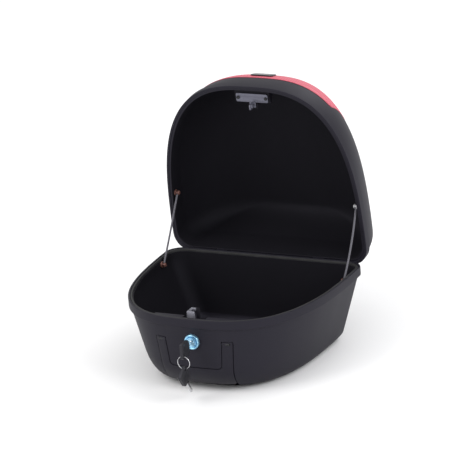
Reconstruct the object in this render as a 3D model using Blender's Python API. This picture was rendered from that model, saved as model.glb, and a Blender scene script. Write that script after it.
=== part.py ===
"""Motorcycle top case: tub, hinged lid, lock, carry handle, check cords, keys and mounting plate.

Units are metres. +Z is up, -Y is the lock side, +Y is the hinge side and the origin lies at the
centre of the mounting plate's underside. The lid is stored open, held back by its check cords.
"""
import math

import bmesh
import bpy
from mathutils import Matrix, Vector

# Plan outline of the rim
CASE_WIDTH = 0.400
CASE_DEPTH = 0.3453
CASE_SHIFT = -0.015
OUTLINE_POINTS = 72
WIDEST_FROM_REAR = 0.060
REAR_CORNER = 0.031
SIDE_TAPER = 0.0263
NOSE_POWER = 2.866

# Tub walls
TUB_HEIGHT = 0.146
WALL = 0.0032
FLOOR = 0.0034
RIM_BAND = 0.016
BAND_BLEND = 0.002
LIP_WIDTH = 0.004
LEDGE_DROP = 0.005
LEDGE_INSET = 0.0095
SIDE_STEP = 0.005
SIDE_LEAN = 0.32
SIDE_RADIUS = 0.016
FRONT_STEP = 0.002
FRONT_LEAN = 0.055
FRONT_RADIUS = 0.055
REAR_STEP = 0.0025
REAR_LEAN = 0.04
REAR_RADIUS = 0.022

# Lid
LID_HEIGHT = 0.145
LID_GAP = 0.0003
LID_WALL = 0.0032
LID_OVERHANG = 0.009
LID_RIM_WIDTH = 0.009
LID_SIDE_STEP = 0.004
LID_SIDE_CROWN = 0.128
LID_FRONT_CROWN = 0.0906
LID_REAR_CROWN = 0.040
LID_CROWN_POWER = 2.05
LID_OPEN_ANGLE = math.radians(83.0)

# Hinge
HINGE_BEHIND_REAR = 0.0045
HINGE_BELOW_RIM = 0.008
HINGE_SPACING = 0.200
KNUCKLE_RADIUS = 0.0042
HINGE_PIN_RADIUS = 0.0018
KNUCKLE_WIDTH = 0.009
LID_KNUCKLE_WIDTH = 0.022
RUNNING_GAP = 0.0003
BORE_CLEARANCE = 0.0001

# Rim seal
SEAL_WIDTH = 0.0036
SEAL_TOP_BELOW_RIM = 0.0004

# Carry handle and its channel
HANDLE_TOP_WIDTH = 0.151
HANDLE_BOTTOM_WIDTH = 0.135
HANDLE_ARM_WIDTH = 0.019
HANDLE_BAR_BOTTOM = 0.012
HANDLE_BAR_HEIGHT = 0.038
HANDLE_THICKNESS = 0.010
HANDLE_PROUD = 0.0005
HANDLE_PIVOT_Z = 0.1004
HANDLE_PIVOT_DEPTH = 0.0097
HANDLE_END_RADIUS = 0.0046
HANDLE_GAP = 0.0008
HANDLE_PIN_RADIUS = 0.0020
HANDLE_PIN_HEAD_RADIUS = 0.0026
CHANNEL_BOTTOM = 0.002
BLOCK_HALF_WIDTH = 0.084
BLOCK_DEPTH = 0.0310
BLOCK_LOW_TOP = 0.060
BLOCK_SKIN = 0.0158
POCKET_HALF_WIDTH = 0.048
POCKET_BOTTOM = 0.056
POCKET_TOP = 0.126

# Lock and latch
LOCK_Z = 0.103
LOCK_RADIUS = 0.015
LOCK_PROUD = 0.0045
BEZEL_THICKNESS = 0.0045
LOCK_PAD_RISE = 0.0012
LOCK_PAD_MARGIN = 0.0012
BARREL_RADIUS = 0.0095
BARREL_TAIL = 0.0187
PLUG_RADIUS = 0.0070
NUT_ACROSS = 0.026
NUT_THICKNESS = 0.004
CAM_THICKNESS = 0.0025
CAM_PIN_ORBIT = 0.0070
CAM_PIN_RADIUS = 0.0020
TONGUE_THICKNESS = 0.0025
TONGUE_TRAVEL = 0.010
TONGUE_ABOVE_RIM = 0.0065
TONGUE_LEFT = -0.0165
TONGUE_RIGHT = 0.008
TONGUE_NECK = -0.001
TONGUE_SHOULDER = 0.014
ARM_WIDTH = 0.004
COVER_POST_LEFT = -0.0018
COVER_POST_RIGHT = 0.0055
COVER_POST_ABOVE_RIM = 0.0110
COVER_THICKNESS = 0.0024
COVER_MARGIN = 0.007

# Lid catch
CATCH_WIDTH = 0.064
CATCH_DEPTH = 0.017
CATCH_THICKNESS = 0.002
CATCH_ABOVE_RIM = 0.0115
CATCH_FRONT_INSET = 0.0197
CATCH_SCREW_SPACING = 0.056
CATCH_BOSS_HEIGHT = 0.010
CATCH_BOSS_END = 0.004
HOOK_BOSS_HALF_WIDTH = 0.009
HOOK_THICKNESS = 0.003
HOOK_LENGTH = 0.0105
HOOK_REACH = 0.0155
BOLT_SECTION = 0.005

# Reflector
LENS_LOW = 0.050
LENS_HIGH = 0.098
LENS_HALF_WIDTH = 0.140
LENS_SLANT = -0.006
LENS_PRISM_DEPTH = 0.15
LENS_PROUD = 0.0008
LENS_SEAT = 0.0016
BASE_THICKNESS = 0.0010
BADGE_MARGIN = 0.011
BADGE_HALF_WIDTH = 0.023
BADGE_THICKNESS = 0.0022

# Check cords
CORD_RADIUS = 0.0018
TUB_POST_FROM_REAR = 0.070
TUB_POST_BELOW_RIM = 0.0115
LID_POST_FROM_REAR = 0.1073
LID_POST_ABOVE_RIM = 0.0121
POST_FLANGE_RADIUS = 0.0060
POST_FLANGE_THICKNESS = 0.0025
POST_SHANK_RADIUS = 0.0025
POST_SHANK_LENGTH = 0.0043
POST_HEAD_RADIUS = 0.0045
POST_HEAD_THICKNESS = 0.0025
POST_WALL_GAP = 0.0004
CORD_BOW_LEFT = 0.001
CORD_BOW_RIGHT = 0.006

# Mounting plate and its knobs
PLATE_WIDTH = 0.210
PLATE_DEPTH = 0.170
PLATE_HEIGHT = 0.016
PLATE_CORNER = 0.022
PLATE_DECK = 0.003
PLATE_RIM = 0.004
PLATE_GAP = 0.0005
PLATE_BOSS_RADIUS = 0.013
RIB_THICKNESS = 0.0026
RIB_SPACING = 0.036
KNOB_SPACING = 0.100
KNOB_RADIUS = 0.019
KNOB_HEIGHT = 0.012
KNOB_STEM_RADIUS = 0.0050
BAR_LENGTH = 0.024
BAR_WIDTH = 0.008
BAR_THICKNESS = 0.003
POCKET_RADIUS = 0.016

# Keys
KEY_BOW_LENGTH = 0.030
KEY_BOW_HEIGHT = 0.030
KEY_BOW_DROP = 0.003
KEY_HOLE_INSET = 0.0065
KEY_BOW_THICKNESS = 0.0052
KEY_BLADE_HEIGHT = 0.0072
KEY_BLADE_THICKNESS = 0.0020
KEY_BLADE_LENGTH = 0.0315
KEY_STANDOFF = 0.011
RING_RADIUS = 0.0120
RING_WIRE = 0.0008
KEY_HOLE_RADIUS = 0.0026
SPARE_TILT = math.radians(35.0)

# Derived places
HALF_WIDTH = CASE_WIDTH / 2
REAR_Y = CASE_SHIFT + CASE_DEPTH / 2
FRONT_Y = CASE_SHIFT - CASE_DEPTH / 2
WIDEST_Y = REAR_Y - WIDEST_FROM_REAR
NOSE_LENGTH = CASE_DEPTH - WIDEST_FROM_REAR
BAND_END = RIM_BAND + BAND_BLEND
LID_Z = TUB_HEIGHT + LID_GAP
HINGE = Vector((0.0, REAR_Y + HINGE_BEHIND_REAR, TUB_HEIGHT - HINGE_BELOW_RIM))
FRONT_WALL_Y = FRONT_Y + FRONT_STEP + FRONT_LEAN * (TUB_HEIGHT - LOCK_Z - BAND_END)
LOCK_PAD_Y = FRONT_WALL_Y - LOCK_PAD_RISE
BLOCK_Y = FRONT_Y + BLOCK_DEPTH
TUB_POST_Y = REAR_Y - TUB_POST_FROM_REAR
LID_POST_Y = REAR_Y - LID_POST_FROM_REAR


def clear_scene():
    """Remove every object of the starting scene."""
    for obj in list(bpy.data.objects):
        bpy.data.objects.remove(obj, do_unlink=True)


def material(name, color, roughness, metallic=0.0, alpha=1.0):
    """Return a plain Principled material."""
    mat = bpy.data.materials.new(name)
    mat.use_nodes = True
    shader = mat.node_tree.nodes["Principled BSDF"]
    shader.inputs["Base Color"].default_value = (*color, 1.0)
    shader.inputs["Roughness"].default_value = roughness
    shader.inputs["Metallic"].default_value = metallic
    shader.inputs["Alpha"].default_value = alpha
    mat.diffuse_color = (*color, 1.0)
    return mat


def add_object(name, bm, mat=None, smooth=False):
    """Turn a bmesh into a named object with outward faces."""
    bmesh.ops.recalc_face_normals(bm, faces=bm.faces[:])
    mesh = bpy.data.meshes.new(name)
    bm.to_mesh(mesh)
    bm.free()
    for face in mesh.polygons:
        face.use_smooth = smooth
    obj = bpy.data.objects.new(name, mesh)
    bpy.context.scene.collection.objects.link(obj)
    if mat:
        obj.data.materials.append(mat)
    return obj


def combine(obj, other, operation):
    """Apply one exact Boolean to obj and remove the other solid."""
    modifier = obj.modifiers.new("combine", "BOOLEAN")
    modifier.operation = operation
    modifier.solver = "EXACT"
    modifier.object = other
    graph = bpy.context.evaluated_depsgraph_get()
    mesh = bpy.data.meshes.new_from_object(obj.evaluated_get(graph))
    obj.modifiers.clear()
    old = obj.data
    obj.data = mesh
    bpy.data.meshes.remove(old)
    bpy.data.objects.remove(other, do_unlink=True)
    return obj


def box(name, low, high, mat=None):
    """Return a box between two corners."""
    bm = bmesh.new()
    size = Vector(high) - Vector(low)
    centre = (Vector(high) + Vector(low)) / 2
    matrix = Matrix.Translation(centre) @ Matrix.Diagonal((*size, 1.0))
    bmesh.ops.create_cube(bm, size=1.0, matrix=matrix)
    return add_object(name, bm, mat)


def bevelled_box(name, low, high, radius, mat=None, segments=2):
    """Return a box with every edge rounded."""
    obj = box(name, low, high, mat)
    bm = bmesh.new()
    bm.from_mesh(obj.data)
    bmesh.ops.bevel(bm, geom=bm.edges[:], offset=radius, segments=segments, profile=0.5, affect="EDGES")
    bm.to_mesh(obj.data)
    bm.free()
    return obj


def cylinder(name, start, end, radius, mat=None, segments=28, end_radius=None):
    """Return a cylinder or a cone between two points."""
    start = Vector(start)
    axis = Vector(end) - start
    turn = Vector((0, 0, 1)).rotation_difference(axis).to_matrix().to_4x4()
    bm = bmesh.new()
    bmesh.ops.create_cone(
        bm,
        cap_ends=True,
        segments=segments,
        radius1=radius,
        radius2=radius if end_radius is None else end_radius,
        depth=axis.length,
        matrix=Matrix.Translation(start + axis / 2) @ turn,
    )
    return add_object(name, bm, mat)


def extrusion(name, points, low, high, axis="Y", mat=None):
    """Return a prism: points (u, v) span the other two axes, in X, Y, Z order."""
    place = {
        "X": lambda u, v, w: (w, u, v),
        "Y": lambda u, v, w: (u, w, v),
        "Z": lambda u, v, w: (u, v, w),
    }[axis]
    bm = bmesh.new()
    first = [bm.verts.new(place(u, v, low)) for u, v in points]
    second = [bm.verts.new(place(u, v, high)) for u, v in points]
    bm.faces.new(first)
    bm.faces.new(second)
    count = len(points)
    for i in range(count):
        j = (i + 1) % count
        bm.faces.new((first[i], first[j], second[j], second[i]))
    return add_object(name, bm, mat)


def rounded_polygon(corners, radius, segments=5):
    """Round each corner of a closed polygon with an arc."""
    points = []
    count = len(corners)
    for i in range(count):
        here = Vector(corners[i])
        before = (Vector(corners[i - 1]) - here).normalized()
        after = (Vector(corners[(i + 1) % count]) - here).normalized()
        half = before.angle(after) / 2
        if radius <= 0 or abs(half - math.pi / 2) < 1e-3:
            points.append(tuple(here))
            continue
        reach = radius / math.tan(half)
        centre = here + (before + after).normalized() * radius / math.sin(half)
        start = here + before * reach - centre
        end = here + after * reach - centre
        for k in range(segments + 1):
            t = k / segments
            span = start.angle(end)
            mix = start * math.sin((1 - t) * span) + end * math.sin(t * span)
            points.append(tuple(centre + mix / math.sin(span)))
    return points


def rectangle(half_x, half_y, radius, segments=6):
    """Return a rounded rectangle centred on the origin."""
    corners = [(-half_x, -half_y), (half_x, -half_y), (half_x, half_y), (-half_x, half_y)]
    return rounded_polygon(corners, radius, segments)


def half_outline(rear_extra):
    """Return a dense right half of the rim outline, from the rear middle to the nose."""
    points = [(0.0, REAR_Y)]
    for k in range(17):
        angle = math.pi / 2 * (1 - k / 16)
        x = HALF_WIDTH - REAR_CORNER + REAR_CORNER * math.cos(angle)
        y = REAR_Y - REAR_CORNER + REAR_CORNER * math.sin(angle)
        points.append((x, y))
    for k in range(121):
        angle = math.pi / 2 * k / 120
        reach = NOSE_LENGTH * math.sin(angle) ** (2 / NOSE_POWER)
        width = HALF_WIDTH - SIDE_TAPER * reach
        x = width * max(math.cos(angle), 0.0) ** (2 / NOSE_POWER)
        points.append((x if k < 120 else 0.0, WIDEST_Y - reach))
    stretched = []
    for x, y in points:
        if y > WIDEST_Y:
            y += rear_extra * (y - WIDEST_Y) / WIDEST_FROM_REAR
        stretched.append((x, y))
    return stretched


def outline(rear_extra=0.0):
    """Return the closed rim outline with evenly spaced points."""
    dense = half_outline(rear_extra)
    lengths = [0.0]
    for a, b in zip(dense, dense[1:]):
        lengths.append(lengths[-1] + math.dist(a, b))
    half = []
    count = OUTLINE_POINTS // 2
    i = 0
    for k in range(count + 1):
        target = lengths[-1] * k / count
        while i < len(dense) - 2 and lengths[i + 1] < target:
            i += 1
        span = lengths[i + 1] - lengths[i]
        t = 0.0 if span == 0 else (target - lengths[i]) / span
        ax, ay = dense[i]
        bx, by = dense[i + 1]
        half.append((ax + (bx - ax) * t, ay + (by - ay) * t))
    half[0] = (0.0, half[0][1])
    half[-1] = (0.0, half[-1][1])
    left = [(-x, y) for x, y in reversed(half[1:-1])]
    return half + left


def section(points, side, front, rear, rear_extra=0.0):
    """Scale the outline inward by a side, a front and a rear inset."""
    rear_span = WIDEST_FROM_REAR + rear_extra
    ring = []
    for x, y in points:
        x *= 1 - side / HALF_WIDTH
        if y < WIDEST_Y:
            y = WIDEST_Y + (y - WIDEST_Y) * (1 - front / NOSE_LENGTH)
        else:
            y = WIDEST_Y + (y - WIDEST_Y) * (1 - rear / rear_span)
        ring.append((x, y))
    return ring


def loft(name, rings, mat=None, closed=False):
    """Skin a stack of rings given as (z, points); closed joins the last ring to the first."""
    bm = bmesh.new()
    rows = [[bm.verts.new((x, y, z)) for x, y in points] for z, points in rings]
    count = len(rows[0])
    pairs = list(zip(rows, rows[1:]))
    if closed:
        pairs.append((rows[-1], rows[0]))
    for lower, upper in pairs:
        for i in range(count):
            j = (i + 1) % count
            bm.faces.new((lower[i], lower[j], upper[j], upper[i]))
    if not closed:
        bm.faces.new(rows[0])
        bm.faces.new(rows[-1])
    return add_object(name, bm, mat)


def tub_inset(depth, step, lean, radius, height=TUB_HEIGHT):
    """Return how far the outer wall stands in from the rim at a depth below it."""
    if depth <= RIM_BAND:
        return 0.0
    inset = step * min(1.0, (depth - RIM_BAND) / BAND_BLEND)
    inset += lean * max(0.0, depth - BAND_END)
    rise = (depth - (height - radius)) / radius
    if rise > 0:
        rise = min(rise, 1.0)
        inset += radius * (1 - math.sqrt(1 - rise * rise))
    return inset


def tub_insets(depth, extra=0.0, inner=False):
    """Return the side, front and rear insets of the tub wall at a depth below the rim."""
    cut = FLOOR if inner else 0.0
    height = TUB_HEIGHT - cut
    return (
        extra + tub_inset(depth, SIDE_STEP, SIDE_LEAN, SIDE_RADIUS - cut, height),
        extra + tub_inset(depth, FRONT_STEP, FRONT_LEAN, FRONT_RADIUS - cut, height),
        extra + tub_inset(depth, REAR_STEP, REAR_LEAN, REAR_RADIUS - cut, height),
    )


def wall_depths(height):
    """Return the depths at which the tub wall gets a ring, from the band to the bottom."""
    depths = [BAND_END]
    straight = height - FRONT_RADIUS
    depths.append((BAND_END + straight) / 2)
    for k in range(9):
        depths.append(straight + FRONT_RADIUS * math.sin(math.pi / 2 * k / 8))
    return depths


def tub_skin(name, extra, top_depth=0.0015):
    """Return a solid bounded by the tub's outer wall moved inward by extra."""
    points = outline()
    depths = [top_depth, RIM_BAND] + wall_depths(TUB_HEIGHT)
    rings = [(TUB_HEIGHT - d, section(points, *tub_insets(d, extra))) for d in reversed(depths)]
    return loft(name, rings)


def tub_body(mat):
    """Return the open tub: outer wall, rim lip, seal ledge, inner wall and floor."""
    points = outline()
    rings = []
    for depth in reversed(wall_depths(TUB_HEIGHT)):
        rings.append((TUB_HEIGHT - depth, section(points, *tub_insets(depth))))
    rings.append((TUB_HEIGHT - RIM_BAND, points))
    rings.append((TUB_HEIGHT - 0.0010, points))
    rings.append((TUB_HEIGHT, section(points, *[0.0010] * 3)))
    rings.append((TUB_HEIGHT, section(points, *[LIP_WIDTH - 0.0006] * 3)))
    rings.append((TUB_HEIGHT - 0.0008, section(points, *[LIP_WIDTH] * 3)))
    rings.append((TUB_HEIGHT - LEDGE_DROP, section(points, *[LIP_WIDTH] * 3)))
    rings.append((TUB_HEIGHT - LEDGE_DROP, section(points, *[LEDGE_INSET] * 3)))
    for depth in wall_depths(TUB_HEIGHT - FLOOR):
        insets = [max(LEDGE_INSET, v) for v in tub_insets(depth, WALL, inner=True)]
        rings.append((TUB_HEIGHT - depth, section(points, *insets)))
    return loft("tub_shell", rings, mat)


def handle_corners(grow, top, bottom):
    """Return the outer corners of the handle's outline at two heights, as (x, z)."""
    height = HANDLE_PIVOT_Z - HANDLE_BAR_BOTTOM
    slope = (HANDLE_TOP_WIDTH - HANDLE_BOTTOM_WIDTH) / 2 / height
    low = HANDLE_BOTTOM_WIDTH / 2 + grow + slope * (bottom - HANDLE_BAR_BOTTOM)
    high = HANDLE_BOTTOM_WIDTH / 2 + grow + slope * (top - HANDLE_BAR_BOTTOM)
    return [(-low, bottom), (low, bottom), (high, top), (-high, top)]


def handle_prism(name, grow, top, bottom):
    """Return the U-shaped prism of the handle, grown by a gap on every side."""
    corners = handle_corners(grow, top, bottom)
    inner = handle_corners(-HANDLE_ARM_WIDTH - grow, top + 0.02, HANDLE_BAR_BOTTOM + HANDLE_BAR_HEIGHT + grow)
    outer = rounded_polygon(corners, 0.008 + grow)
    outer = [p for p in outer if p[1] < top - 0.012] + corners[2:]
    prism = extrusion(name, outer, FRONT_Y - 0.03, FRONT_Y + 0.075)
    window = rounded_polygon(inner, 0.008 - grow)
    window = [p for p in window if p[1] < top - 0.002] + inner[2:]
    cutter = extrusion("window", window, FRONT_Y - 0.04, FRONT_Y + 0.085)
    return combine(prism, cutter, "DIFFERENCE")


def handle_pivot_y():
    """Return the handle axis's place behind the front wall."""
    return FRONT_Y + HANDLE_PIVOT_DEPTH


def handle_grip(mat):
    """Return the U-shaped carry handle that follows the front wall."""
    grip = handle_prism("handle_grip", 0.0, HANDLE_PIVOT_Z, HANDLE_BAR_BOTTOM)
    grip = combine(grip, tub_skin("core", HANDLE_THICKNESS - HANDLE_PROUD, 0.0), "DIFFERENCE")
    y = handle_pivot_y()
    outer = HANDLE_TOP_WIDTH / 2
    for side in (-1, 1):
        a = side * (outer - HANDLE_ARM_WIDTH)
        b = side * outer
        eye = cylinder("eye", (a, y, HANDLE_PIVOT_Z), (b, y, HANDLE_PIVOT_Z), HANDLE_END_RADIUS, None, 40)
        grip = combine(grip, eye, "UNION")
    grip = combine(grip, tub_skin("face", -HANDLE_PROUD), "INTERSECT")
    for side in (-1, 1):
        a = side * (outer - HANDLE_ARM_WIDTH - 0.005)
        b = side * (outer - 0.004)
        bore = cylinder(
            "bore", (a, y, HANDLE_PIVOT_Z), (b, y, HANDLE_PIVOT_Z), HANDLE_PIN_RADIUS + BORE_CLEARANCE
        )
        grip = combine(grip, bore, "DIFFERENCE")
    grip.data.materials.clear()
    grip.data.materials.append(mat)
    return grip


def front_block():
    """Return the thick part of the front wall that carries the handle and the lock."""
    top = TUB_HEIGHT - LEDGE_DROP
    block = box("block", (-BLOCK_HALF_WIDTH, FRONT_Y - 0.01, 0.001), (BLOCK_HALF_WIDTH, BLOCK_Y, top))
    low = box(
        "low", (-BLOCK_HALF_WIDTH, FRONT_Y - 0.01, 0.001), (BLOCK_HALF_WIDTH, FRONT_Y + 0.09, BLOCK_LOW_TOP)
    )
    low = combine(low, tub_skin("inside", BLOCK_SKIN, 0.0), "DIFFERENCE")
    block = combine(block, low, "UNION")
    return combine(block, tub_skin("outside", 0.001), "INTERSECT")


def handle_channel():
    """Return the space that the handle lies and turns in."""
    channel = handle_prism("channel", HANDLE_GAP, HANDLE_PIVOT_Z, CHANNEL_BOTTOM)
    channel = combine(channel, tub_skin("bed", HANDLE_THICKNESS, 0.0), "DIFFERENCE")
    y = handle_pivot_y()
    outer = HANDLE_TOP_WIDTH / 2 + HANDLE_GAP
    inner = HANDLE_TOP_WIDTH / 2 - HANDLE_ARM_WIDTH - HANDLE_GAP
    for side in (-1, 1):
        eye = cylinder(
            "eye",
            (side * inner, y, HANDLE_PIVOT_Z),
            (side * outer, y, HANDLE_PIVOT_Z),
            HANDLE_END_RADIUS + 0.0006,
            None,
            40,
        )
        channel = combine(channel, eye, "UNION")
        low = (min(side * inner, side * outer), FRONT_Y - 0.02, HANDLE_PIVOT_Z - 0.004)
        high = (max(side * inner, side * outer), y, HANDLE_PIVOT_Z + HANDLE_END_RADIUS + 0.0006)
        channel = combine(channel, box("mouth", low, high), "UNION")
    return channel


def lock_pocket():
    """Return the space behind the front panel that holds the latch."""
    low = (-POCKET_HALF_WIDTH, FRONT_Y - 0.01, POCKET_BOTTOM)
    high = (POCKET_HALF_WIDTH, BLOCK_Y + 0.01, POCKET_TOP)
    pocket = box("pocket", low, high)
    pocket = combine(pocket, tub_skin("panel", WALL), "INTERSECT")
    slot_low = (TONGUE_LEFT - 0.003, tongue_y() - 0.002, POCKET_TOP - 0.005)
    slot_high = (TONGUE_RIGHT + TONGUE_TRAVEL + 0.003, BLOCK_Y + 0.01, TUB_HEIGHT)
    return combine(pocket, box("slot", slot_low, slot_high), "UNION")


def barrel_end_y():
    """Return the inner end of the lock barrel."""
    return FRONT_Y + BARREL_TAIL


def tongue_y():
    """Return the front face of the latch tongue."""
    return barrel_end_y() + 0.0005 + CAM_THICKNESS + 0.0005


def screw(name, start, direction, head_radius, head, shank_radius, shank, mat):
    """Return a round-head screw with a cross slot, standing on start and pointing inward."""
    start = Vector(start)
    direction = Vector(direction).normalized()
    body = cylinder(name, start - direction * head, start, head_radius * 0.8, mat, 24, head_radius)
    stem = cylinder("stem", start - direction * head * 0.5, start + direction * shank, shank_radius, None, 12)
    body = combine(body, stem, "UNION")
    side = direction.orthogonal().normalized()
    other = direction.cross(side)
    for a, b in ((side, other), (other, side)):
        slot = bmesh.new()
        matrix = Matrix((a, b, direction)).transposed().to_4x4()
        matrix.translation = start - direction * head
        size = Matrix.Diagonal((head_radius * 1.1, head_radius * 0.26, head * 0.9, 1.0))
        bmesh.ops.create_cube(slot, size=1.0, matrix=matrix @ size)
        body = combine(body, add_object("slot", slot), "DIFFERENCE")
    return body


def cover_screw_places():
    """Return the four screw places of the latch cover, as (x, z)."""
    x = POCKET_HALF_WIDTH + COVER_MARGIN / 2
    return [(s * x, z) for s in (-1, 1) for z in (POCKET_BOTTOM + 0.006, POCKET_TOP - 0.006)]


def hinge_centres():
    """Return the x places of the two hinges."""
    return (-HINGE_SPACING / 2, HINGE_SPACING / 2)


def tub_knuckles():
    """Return the x spans of the tub's hinge knuckles."""
    spans = []
    for centre in hinge_centres():
        inner = LID_KNUCKLE_WIDTH / 2 + RUNNING_GAP
        spans.append((centre - inner - KNUCKLE_WIDTH, centre - inner))
        spans.append((centre + inner, centre + inner + KNUCKLE_WIDTH))
    return spans


def tub_shell(mat):
    """Return the finished tub."""
    tub = tub_body(mat)
    tub = combine(tub, front_block(), "UNION")
    half_x = PLATE_WIDTH / 2 + PLATE_GAP
    half_y = PLATE_DEPTH / 2 + PLATE_GAP
    top = PLATE_HEIGHT + PLATE_GAP
    raised = rectangle(half_x + WALL, half_y + WALL, PLATE_CORNER + WALL)
    tub = combine(tub, extrusion("raised", raised, 0.0008, top + FLOOR, "Z"), "UNION")
    recess = rectangle(half_x, half_y, PLATE_CORNER)
    tub = combine(tub, extrusion("recess", recess, -0.01, top, "Z"), "DIFFERENCE")
    tub = combine(tub, handle_channel(), "DIFFERENCE")
    tub = combine(tub, lock_pocket(), "DIFFERENCE")
    pad = cylinder(
        "pad", (0, FRONT_WALL_Y + 0.002, LOCK_Z), (0, LOCK_PAD_Y, LOCK_Z), LOCK_RADIUS + LOCK_PAD_MARGIN, None, 40
    )
    tub = combine(tub, pad, "UNION")
    hole = cylinder(
        "hole", (0, FRONT_Y - 0.02, LOCK_Z), (0, BLOCK_Y, LOCK_Z), BARREL_RADIUS + RUNNING_GAP, None, 40
    )
    tub = combine(tub, hole, "DIFFERENCE")
    for x, z in cover_screw_places():
        bore = cylinder("bore", (x, BLOCK_Y - 0.0075, z), (x, BLOCK_Y + 0.01, z), 0.0014, None, 16)
        tub = combine(tub, bore, "DIFFERENCE")
    y = handle_pivot_y()
    edge = HANDLE_TOP_WIDTH / 2 - HANDLE_ARM_WIDTH
    for side in (-1, 1):
        a = (side * (POCKET_HALF_WIDTH - 0.002), y, HANDLE_PIVOT_Z)
        b = (side * (edge + 0.001), y, HANDLE_PIVOT_Z)
        tub = combine(tub, cylinder("bore", a, b, HANDLE_PIN_RADIUS + BORE_CLEARANCE), "DIFFERENCE")
        a = (side * (POCKET_HALF_WIDTH - 0.004), y, HANDLE_PIVOT_Z)
        b = (side * POCKET_HALF_WIDTH, y, HANDLE_PIVOT_Z)
        tub = combine(tub, cylinder("seat", a, b, HANDLE_PIN_HEAD_RADIUS + RUNNING_GAP), "DIFFERENCE")
    for offset in (-KNOB_SPACING / 2, KNOB_SPACING / 2):
        a = (0, offset, PLATE_HEIGHT - 0.001)
        b = (0, offset, top + FLOOR + 0.002)
        hole = cylinder("hole", a, b, KNOB_STEM_RADIUS + RUNNING_GAP, None, 40)
        tub = combine(tub, hole, "DIFFERENCE")
    for low, high in tub_knuckles():
        tub = combine(tub, knuckle(low, high, REAR_Y - 0.002, HINGE.z - KNUCKLE_RADIUS - 0.002), "UNION")
    return combine(tub, hinge_bore(), "DIFFERENCE")


def knuckle(low, high, wall_y, foot_z):
    """Return one tub hinge knuckle with a web that runs into the rear rim band."""
    points = []
    for k in range(13):
        angle = math.radians(100 - 190 * k / 12)
        points.append((HINGE.y + KNUCKLE_RADIUS * math.cos(angle), HINGE.z + KNUCKLE_RADIUS * math.sin(angle)))
    points.append((wall_y, foot_z))
    points.append((wall_y, HINGE.z + KNUCKLE_RADIUS * 0.9))
    return extrusion("knuckle", points, low, high, "X")


def hinge_bore():
    """Return one long cutter for the hinge pins."""
    reach = HINGE_SPACING
    start = (-reach, HINGE.y, HINGE.z)
    end = (reach, HINGE.y, HINGE.z)
    return cylinder("bore", start, end, HINGE_PIN_RADIUS + BORE_CLEARANCE, None, 24)


def hinge_pin(name, centre, mat):
    """Return a headed hinge pin."""
    reach = LID_KNUCKLE_WIDTH / 2 + RUNNING_GAP + KNUCKLE_WIDTH
    start = (centre - reach, HINGE.y, HINGE.z)
    end = (centre + reach + 0.001, HINGE.y, HINGE.z)
    pin = cylinder(name, start, end, HINGE_PIN_RADIUS, mat, 24)
    head_start = (centre - reach - 0.0015, HINGE.y, HINGE.z)
    head_end = (centre - reach - 0.0002, HINGE.y, HINGE.z)
    head = cylinder("head", head_start, head_end, HINGE_PIN_RADIUS * 1.7, None, 24)
    neck = cylinder("neck", head_start, (centre, HINGE.y, HINGE.z), HINGE_PIN_RADIUS, None, 24)
    pin = combine(pin, neck, "UNION")
    return combine(pin, head, "UNION")


def rim_seal(mat):
    """Return the rubber seal that lies on the ledge inside the rim lip."""
    points = outline()
    outer = LIP_WIDTH + RUNNING_GAP
    inner = outer + SEAL_WIDTH
    low = TUB_HEIGHT - LEDGE_DROP + RUNNING_GAP
    high = TUB_HEIGHT - SEAL_TOP_BELOW_RIM
    round_off = SEAL_WIDTH * 0.25
    rings = [
        (low, section(points, outer, outer, outer)),
        (high - round_off, section(points, outer, outer, outer)),
        (high, section(points, *[outer + round_off] * 3)),
        (high, section(points, *[inner - round_off] * 3)),
        (high - round_off, section(points, inner, inner, inner)),
        (low, section(points, inner, inner, inner)),
    ]
    return loft("rim_seal", rings, mat, closed=True)


def lid_insets(height, extra=0.0, inner=False):
    """Return the side, front and rear insets of the lid wall at a height above the rim."""
    if height <= RIM_BAND:
        return (extra, extra, extra)
    top = LID_HEIGHT - (LID_WALL if inner else 0.0)
    t = min(max(0.0, (height - BAND_END) / (top - BAND_END)), 1.0)
    crown = 1 - (1 - t**LID_CROWN_POWER) ** (1 / LID_CROWN_POWER)
    base = extra + LID_SIDE_STEP
    return (
        base + LID_SIDE_CROWN * crown,
        base - LID_SIDE_STEP + FRONT_STEP + LID_FRONT_CROWN * crown,
        base - LID_SIDE_STEP + REAR_STEP + LID_REAR_CROWN * crown,
    )


def lid_heights(top):
    """Return the heights at which the lid wall gets a ring."""
    return [BAND_END + (top - BAND_END) * math.sin(math.pi / 2 * k / 11) for k in range(12)]


def lid_section(height, extra=0.0, inner=False):
    """Return one lid ring as (z, points)."""
    points = section(outline(LID_OVERHANG), *lid_insets(height, extra, inner), LID_OVERHANG)
    return (LID_Z + height, points)


def lid_skin(name, extra):
    """Return a solid bounded by the lid's outer wall moved inward by extra."""
    rings = [lid_section(h, extra) for h in [0.001, RIM_BAND] + lid_heights(LID_HEIGHT)]
    return loft(name, rings)


def lid_body(mat):
    """Return the hollow lid in its closed place."""
    points = outline(LID_OVERHANG)
    plain = [LID_OVERHANG]
    rings = [lid_section(h) for h in reversed([RIM_BAND] + lid_heights(LID_HEIGHT))]
    rings.append((LID_Z + 0.0008, section(points, 0, 0, 0, *plain)))
    rings.append((LID_Z, section(points, 0.0008, 0.0008, 0.0008, *plain)))
    rings.append((LID_Z, section(points, *[LIP_WIDTH] * 3, *plain)))
    rings.append((LID_Z + 0.0012, section(points, *[LIP_WIDTH + 0.0006] * 3, *plain)))
    rings.append((LID_Z + 0.0012, section(points, *[LID_RIM_WIDTH - 0.0006] * 3, *plain)))
    rings.append((LID_Z + 0.0022, section(points, *[LID_RIM_WIDTH] * 3, *plain)))
    for height in lid_heights(LID_HEIGHT - LID_WALL):
        insets = [max(LID_RIM_WIDTH, v) for v in lid_insets(height, LID_WALL, inner=True)]
        rings.append((LID_Z + height, section(points, *insets, *plain)))
    return loft("lid_shell", rings, mat)


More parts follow.
